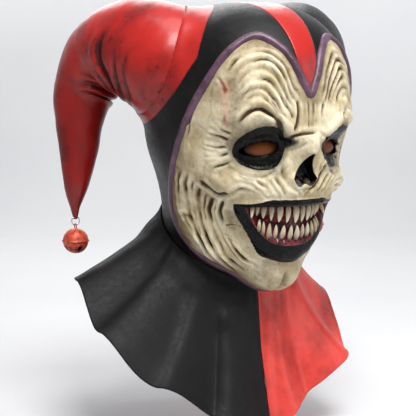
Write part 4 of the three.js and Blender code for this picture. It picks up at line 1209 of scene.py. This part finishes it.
class Paint:
    def __init__(self, name):
        self.material = bpy.data.materials.new(name)
        self.material.use_nodes = True
        self.tree = self.material.node_tree
        self.shader = self.tree.nodes["Principled BSDF"]
        self.place = self.node("ShaderNodeTexCoord", output="Object")

    def put(self, socket, value):
        if isinstance(value, Signal):
            self.tree.links.new(value.socket, socket)
        elif socket.type == "RGBA" and len(value) == 3:
            socket.default_value = (*value, 1)
        else:
            socket.default_value = value

    def node(self, kind, settings=None, inputs=None, output=0):
        made = self.tree.nodes.new(kind)
        for key, value in (settings or {}).items():
            setattr(made, key, value)
        for key, value in (inputs or {}).items():
            self.put(made.inputs[key], value)
        return Signal(self, made.outputs[output])

    def value(self, name):
        return self.node("ShaderNodeAttribute", dict(attribute_name=name), output="Fac")

    # Noise with features of a given size in millimetres.
    def noise(self, size, detail=4.0, roughness=0.55, stretch=(1, 1, 1), distortion=0.0):
        spot = self.node("ShaderNodeVectorMath", dict(operation="MULTIPLY"), {0: self.place, 1: stretch})
        inputs = {"Vector": spot, "Scale": 1000 / size, "Detail": detail, "Roughness": roughness}
        inputs["Distortion"] = distortion
        return self.node("ShaderNodeTexNoise", None, inputs)

    def cells(self, size):
        inputs = {"Vector": self.place, "Scale": 1000 / size}
        return self.node("ShaderNodeTexVoronoi", dict(feature="F1"), inputs)

    def mix(self, share, a, b):
        return self.node("ShaderNodeMix", dict(data_type="RGBA"), {0: share, 6: a, 7: b}, 2)

    # A colour with others laid over it, each with its share.
    def layers(self, colour, *coats):
        for share, coat in coats:
            colour = self.mix(share, colour, coat)
        return colour

    def relief(self, height, distance, strength):
        inputs = {"Height": height, "Distance": distance / 1000, "Strength": strength}
        return self.node("ShaderNodeBump", None, inputs)

    def finish(self, **inputs):
        for key, value in inputs.items():
            self.put(self.shader.inputs[key.replace("_", " ")], value)
        return self.material


# Display colour to scene colour.
def tint(r, g, b):
    return tuple(c / 12.92 if c <= 0.04045 else ((c + 0.055) / 1.055) ** 2.4 for c in (r, g, b))


# The dust colour also lays painted shade on the face, and the darkest brown lays the painted shadow round the
# eyes.
boneTones = dict(
    cream=tint(0.87, 0.83, 0.72), tan=tint(0.75, 0.69, 0.55), raw=tint(0.62, 0.55, 0.42),
    washAndShade=tint(0.29, 0.21, 0.13), dust=tint(0.49, 0.41, 0.29), blush=tint(0.62, 0.30, 0.22),
    black=tint(0.035, 0.032, 0.032), sootAndShadow=tint(0.07, 0.05, 0.04), lip=tint(0.035, 0.03, 0.032),
    gum=tint(0.40, 0.08, 0.11), deepGum=tint(0.15, 0.02, 0.04),
    cavity=tint(0.035, 0.03, 0.03), lump=tint(0.40, 0.37, 0.32),
)


def boneLatex():
    p = Paint("boneLatex")
    c = boneTones
    crease, ridge, gum, inner = (p.value(name) for name in ("crease", "ridge", "gum", "inner"))
    mottle, fine, stain = p.noise(26, 5), p.noise(3.2, 4), p.noise(60, 3)
    grain, crumple = p.noise(0.9, 3, 0.6), p.noise(11, 3, 0.5, (1, 1, 0.6), 2.2)
    # Recesses darker and ridges clear: partly antiquing paint, partly painted shade.
    low, high = (ridge * -0.42 + 0.08).clamp(), (ridge * 0.45).clamp()
    washAndShade = (crease * 0.95 + low * 1.1) * (0.6 + mottle * 0.8) + (fine - 0.6) * (low + 0.3)
    washAndShade = (washAndShade + crumple.step(0.5, 0.3) * 0.22).clamp()
    # Stains and specks, with painted shade from the rim value: toward the welt, low on the face and on its
    # lower sides; kept off ridges.
    dirtAndShade = stain.step(0.45, 0.7) * 0.5 + fine.step(0.5, 0.75) * 0.2 + p.value("rim") * (0.35 + mottle * 0.6)
    dark = (p.value("socket") + (fine - 0.5) * 0.25).step(0.35, 0.65)
    lip = (p.value("lip") + (fine - 0.5) * 0.35).step(0.35, 0.6)
    cavity = p.value("cavity").step(0.25, 0.7)
    colour = p.layers(
        p.mix(mottle.step(0.35, 0.68), c["cream"], c["tan"]),
        ((dirtAndShade * (1 - high)).clamp(), c["dust"]),
        (washAndShade * 0.95, c["washAndShade"]),
        (p.value("blush") * 0.55 * (0.4 + mottle), c["blush"]),
        # Painted shadow round each pit and its inner corner.
        ((p.value("shadow") * (0.5 + mottle)).clamp() * 0.9, c["sootAndShadow"]),
        (dark, c["black"]),
        (lip, c["lip"]),
        (gum.step(0.3, 0.7), p.mix(p.noise(7, 4).step(0.35, 0.65), c["gum"], c["deepGum"])),
        (cavity, p.mix(p.value("lumps") * (0.35 + mottle * 0.6), c["cavity"], c["lump"])),
        (inner, p.mix(mottle.step(0.3, 0.7), c["raw"], c["dust"])),
    )
    shiny = (dark + lip + gum + cavity).clamp()
    roughness = 0.5 + (fine - 0.5) * 0.25 + washAndShade * 0.12 - shiny * 0.22 + inner * 0.2
    height = crumple * 1.6 + fine * 0.6 + grain * 0.2 + p.cells(2.6) * 0.2
    wet = gum + cavity * 0.3 + dark * fine.step(0.45, 0.65) * 0.4 + lip * fine.step(0.5, 0.7) * 0.4
    return p.finish(
        Base_Color=colour, Roughness=roughness, Normal=p.relief(height, 0.5, 0.75), Specular_IOR_Level=0.14,
        Coat_Weight=wet.clamp() * 0.35, Subsurface_Weight=0.06, Subsurface_Radius=(0.006, 0.003, 0.002),
        Subsurface_Scale=0.5,
    )


# Red paint: bright where it is rubbed, sponged with sooty specks, darker toward the horn's tip, and darker in
# the folds, in hollows and under the bend as painted shade.
def redTone(p, tones):
    crease, ridge = p.value("crease"), p.value("ridge")
    blotch, sponge = p.noise(55, 4, 0.55), p.noise(4.5, 6, 0.66)
    # Painted shade in the creases, in hollows of the relief and under the bend.
    folds = crease * 0.9 + p.value("under") * 0.35 - ridge * 0.1
    hang = p.value("along").step(0.35, 0.75) * 0.75
    dark = (blotch.step(0.4, 0.7) * 0.7 + folds + hang + (sponge - 0.5) * 0.3).clamp()
    specks = (sponge + (blotch - 0.5) * 0.7 + crease * 0.25 - tones["wear"]).step(0.0, 0.14)
    colour = p.layers(tones["bright"], (dark, tones["deep"]), (specks * 0.65, tones["sootAndShadow"]))
    roughness = tones["smooth"] + (sponge - 0.5) * 0.35 + specks * 0.18
    return colour, roughness, (1 - specks * 0.7) * 0.3, sponge


hornRed = dict(
    bright=tint(0.67, 0.125, 0.105), deep=tint(0.37, 0.05, 0.045), sootAndShadow=tint(0.10, 0.03, 0.025),
    wear=0.64, smooth=0.36,
)
collarRed = dict(
    bright=tint(0.83, 0.25, 0.215), deep=tint(0.52, 0.10, 0.085), sootAndShadow=tint(0.28, 0.06, 0.05),
    wear=0.70, smooth=0.5,
)
gloss = dict(Specular_IOR_Level=0.22, Coat_Roughness=0.22)


def redLatex(name, tones):
    p = Paint(name)
    colour, roughness, coat, sponge = redTone(p, tones)
    normal = p.relief(sponge * 0.5 + p.noise(1.6, 4) * 0.5, 0.5, 0.6)
    return p.finish(Base_Color=colour, Roughness=roughness, Normal=normal, Coat_Weight=coat, **gloss)


# Black latex, on the hood with the horn's red paint run over it up to a line. The collar's copy has darker
# grey patches as painted shade.
def blackLatex(name, dull, dustAndShadeGrey):
    p = Paint(name)
    blotch, fine = p.noise(40, 4), p.noise(1.4, 4)
    red, redRoughness, redCoat, sponge = redTone(p, hornRed)
    dust = (blotch.step(0.45, 0.75) * 0.6 + sponge.step(0.55, 0.8) * 0.4).clamp()
    black = p.mix(dust, tint(0.035, 0.034, 0.036), tint(dustAndShadeGrey, dustAndShadeGrey, dustAndShadeGrey))
    zero = hoodForm["paintZero"]
    painted = (p.value("red") + (sponge - 0.5) * 1.5).step(zero - 0.8, zero + 0.6)
    bare = dull + (sponge - 0.5) * 0.38 + dust * 0.1
    colour, roughness = p.mix(painted, black, red), bare + painted * (redRoughness - bare)
    normal = p.relief(sponge * 0.5 + fine * 0.45, 0.45, 0.6)
    coat = painted * redCoat
    return p.finish(Base_Color=colour, Roughness=roughness, Normal=normal, Coat_Weight=coat, **gloss)


def purpleLatex():
    p = Paint("purpleLatex")
    blotch, sponge, fine = p.noise(18, 4), p.noise(4, 5, 0.65), p.noise(1.2, 3)
    edge = (p.value("ridge") * 0.5 + 0.5).clamp()
    # Darker down the sides of the roll as painted shade; paler sponged patches on its crown, partly rubbed
    # paint and partly painted highlight.
    colour = p.layers(
        tint(0.37, 0.24, 0.32),
        (blotch.step(0.35, 0.7), tint(0.24, 0.14, 0.20)),
        (edge.step(0.7, 0.2) * 0.8, tint(0.14, 0.08, 0.11)),
        ((sponge * edge).step(0.45, 0.65) * 0.4, tint(0.48, 0.36, 0.43)),
    )
    normal = p.relief(sponge * 0.6 + fine * 0.4, 0.3, 0.6)
    return p.finish(Base_Color=colour, Roughness=0.38 + (sponge - 0.5) * 0.4, Normal=normal)


def toothLatex():
    p = Paint("toothLatex")
    along, tone = p.value("along"), p.value("tone")
    streak, fine = p.noise(2.2, 4, 0.6, (1, 1, 0.25)), p.noise(6, 4)
    stain = ((1 - along) ** 1.6 * (0.45 + streak * 0.9) + (streak - 0.5) * 0.7).clamp()
    colour = p.layers(
        tint(0.84, 0.80, 0.70),
        ((tone * 0.6 + fine * 0.4).clamp(), tint(0.72, 0.64, 0.49)),
        (stain, tint(0.34, 0.20, 0.12)),
        (along.step(0.16, 0.0) * 0.8, tint(0.22, 0.06, 0.06)),
    )
    normal = p.relief(streak, 0.25, 0.5)
    return p.finish(Base_Color=colour, Roughness=0.3 + streak * 0.2, Normal=normal, Coat_Weight=0.2)


def amberLens():
    p = Paint("amberLens")
    lensShade, fine = p.value("lensShade"), p.noise(1.5, 4, 0.6)
    # Darker toward the rim: painted shade from the lids.
    share = (lensShade / 17 + (fine - 0.5) * 0.4).step(0.25, 1.0)
    colour = p.mix(share, tint(0.42, 0.22, 0.075), tint(0.17, 0.075, 0.025))
    normal = p.relief(fine, 0.1, 0.3)
    return p.finish(Base_Color=colour, Roughness=0.32 + fine * 0.1, Normal=normal, Specular_IOR_Level=0.25)


def bellPaint():
    p = Paint("bellPaint")
    blotch, scratch, fine = p.noise(5, 5, 0.6), p.noise(2, 5, 0.65, (1, 1, 3)), p.noise(0.8, 3)
    edge = p.value("edge")
    worn = (edge * 0.28 + scratch * 0.8 - 0.66).step(0.0, 0.12)
    # Blotches and the rim seam are darker paint; the under value adds painted shade.
    dark = (blotch.step(0.4, 0.7) + p.value("under") * 0.55 + edge * 0.35).clamp()
    colour = p.layers(
        tint(0.82, 0.33, 0.22),
        (dark, tint(0.46, 0.12, 0.08)),
        (worn * 0.8, tint(0.74, 0.60, 0.48)),
        (blotch.step(0.6, 0.72) * 0.7, tint(0.14, 0.06, 0.045)),
    )
    roughness, metallic = 0.3 + blotch * 0.22, 0.35 + worn * 0.55
    normal = p.relief(scratch + fine * 0.4, 0.12, 0.5)
    return p.finish(Base_Color=colour, Roughness=roughness, Metallic=metallic, Normal=normal)


def ringWire():
    p = Paint("ringWire")
    scratch = p.noise(1.4, 4, 0.6, (1, 1, 4))
    colour = p.mix(scratch.step(0.4, 0.65), tint(0.86, 0.86, 0.84), tint(0.62, 0.60, 0.56))
    normal = p.relief(scratch, 0.06, 0.4)
    return p.finish(Base_Color=colour, Roughness=0.22 + scratch * 0.25, Metallic=1.0, Normal=normal)


boneFinish, purpleFinish = boneLatex(), purpleLatex()
# The collar gets a darker copy of the black: painted shade.
blackFinish, blackCollarFinish = blackLatex("blackHood", 0.42, 0.11), blackLatex("blackCollarShaded", 0.55, 0.06)
hornFinish, collarFinish = redLatex("redHorn", hornRed), redLatex("redCollar", collarRed)
toothFinish, lensFinish, bellFinish, ringFinish = toothLatex(), amberLens(), bellPaint(), ringWire()
print("materials ready")

dress(buildFace(), boneFinish, "mask", "face")
print("face ready")
dress(buildWelt(), purpleFinish, "mask", "face_welt")
half = hoodForm["stripeHalf"]
gap = half + hoodForm["stripeGap"]
hood = buildHood("hoodSkin", gap, 1 - gap, hoodForm["columns"])
dress(hood, blackFinish, "mask", "hood")
stripe = buildHood("stripeSkin", -half, half, hoodForm["stripeColumns"])
dress(stripe, hornFinish, "mask", "crown_stripe")
print("hood ready")
dress(buildHorn("hornRightSkin", -1, 71), hornFinish, "mask", "horn_right")
dress(buildHorn("hornLeftSkin", 1, 81), blackFinish, "mask", "horn_left")
print("horns ready")
seam = collarForm["seamTurn"]
collarRight = buildCollar("collarRightSkin", seam, 180 - seam, 91)
dress(collarRight, blackCollarFinish, "mask", "collar_right")
collarLeft = buildCollar("collarLeftSkin", 180 + seam, 360 - seam, 95)
dress(collarLeft, collarFinish, "mask", "collar_left")
buildTeeth(toothFinish)
for word, side in (("right", -1), ("left", 1)):
    dress(buildLens("lens_" + word, side), lensFinish, "mask", "eye_lens_" + word)
    dress(buildRing("wireRing_" + word, side), ringFinish, "ring_" + word, "ring_" + word)
    dress(buildBell("bellShell_" + word, side), bellFinish, "bell_" + word, "bell_" + word)
print("small pieces ready")


# A pale floor that sweeps up behind, soft lights and the photograph's camera, in metres.
stageForm = dict(
    floor=-0.428, half=4.0, ahead=4.0, back=1.5, bend=0.7, bendSteps=24, height=3.2, cloud=300, glow=0.58,
    pale=tint(0.84, 0.84, 0.84), grey=tint(0.80, 0.80, 0.81),
)
lightAim = (0, 0, -0.2)
lights = [
    dict(name="key", azimuth=-20, elevation=53, distance=1.7, size=0.7, watts=31),
    dict(name="fill", azimuth=40, elevation=18, distance=2.0, size=1.2, watts=9),
    dict(name="top", azimuth=-10, elevation=80, distance=1.6, size=0.9, watts=12),
    dict(name="backdropWash", azimuth=160, elevation=35, distance=1.9, size=1.2, watts=14),
]
worldLight = dict(Color=(0.8, 0.82, 0.85, 1), Strength=0.4)


def buildStage():
    s = stageForm
    angle = np.linspace(0, np.pi / 2, s["bendSteps"])
    wall = s["back"] + s["bend"]
    bend = np.stack([s["back"] + s["bend"] * np.sin(angle), s["floor"] + s["bend"] * (1 - np.cos(angle))], -1)
    profile = np.vstack([[(-s["ahead"], s["floor"])], bend, [(wall, s["height"])]])
    right, _, back = cameraAxes()
    level = unit(np.array([back[0], back[1], 0]))
    sides = (-s["half"], s["half"])
    points = [right * x - level * d + np.array([0, 0, z]) for d, z in profile for x in sides]
    sweep = addMesh("sweep", points, gridFaces(len(profile), 2, False), place=np.asarray)
    p = Paint("sweepPaint")
    cloud = p.noise(s["cloud"], 3)
    colour = p.mix(cloud, s["pale"], s["grey"])
    height = p.node("ShaderNodeSeparateXYZ", None, {0: p.place}, 2)
    glow = p.mix(height.step(s["floor"], s["floor"] + s["bend"]), (0, 0, 0), colour)
    roughness = 0.9 + cloud * 0.05
    paint = p.finish(Base_Color=colour, Roughness=roughness, Emission_Color=glow, Emission_Strength=s["glow"])
    sweep.data.materials.append(paint)


def lookAt(obj, aim, direction, distance):
    obj.location = Vector(aim) + Vector(direction) * distance
    obj.rotation_euler = (Vector(aim) - obj.location).to_track_quat("-Z", "Y").to_euler()


def addLight(name, azimuth, elevation, distance, size, watts):
    light = bpy.data.lights.new(name, "AREA")
    light.size, light.energy = size, watts
    lookAt(addObject(name, light), lightAim, towards(azimuth, elevation), distance)


buildStage()
for light in lights:
    addLight(**light)
bpy.context.scene.view_settings.view_transform = "Standard"
world = bpy.data.worlds.new("studio")
bpy.context.scene.world = world
world.use_nodes = True
for key, value in worldLight.items():
    world.node_tree.nodes["Background"].inputs[key].default_value = value

camera = bpy.data.cameras.new("photo")
camera.sensor_width = photoCamera["sensor"]
camera.lens = photoCamera["sensor"] * photoCamera["focal"] / photoCamera["pixels"]
camera.clip_end = photoCamera["clip"]
eye = addObject("photo", camera)
lookAt(eye, toRow([photoCamera["aim"]])[0], cameraAxes()[2], photoCamera["distance"] / 1000)
bpy.context.scene.camera = eye
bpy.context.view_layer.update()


print("stage ready")
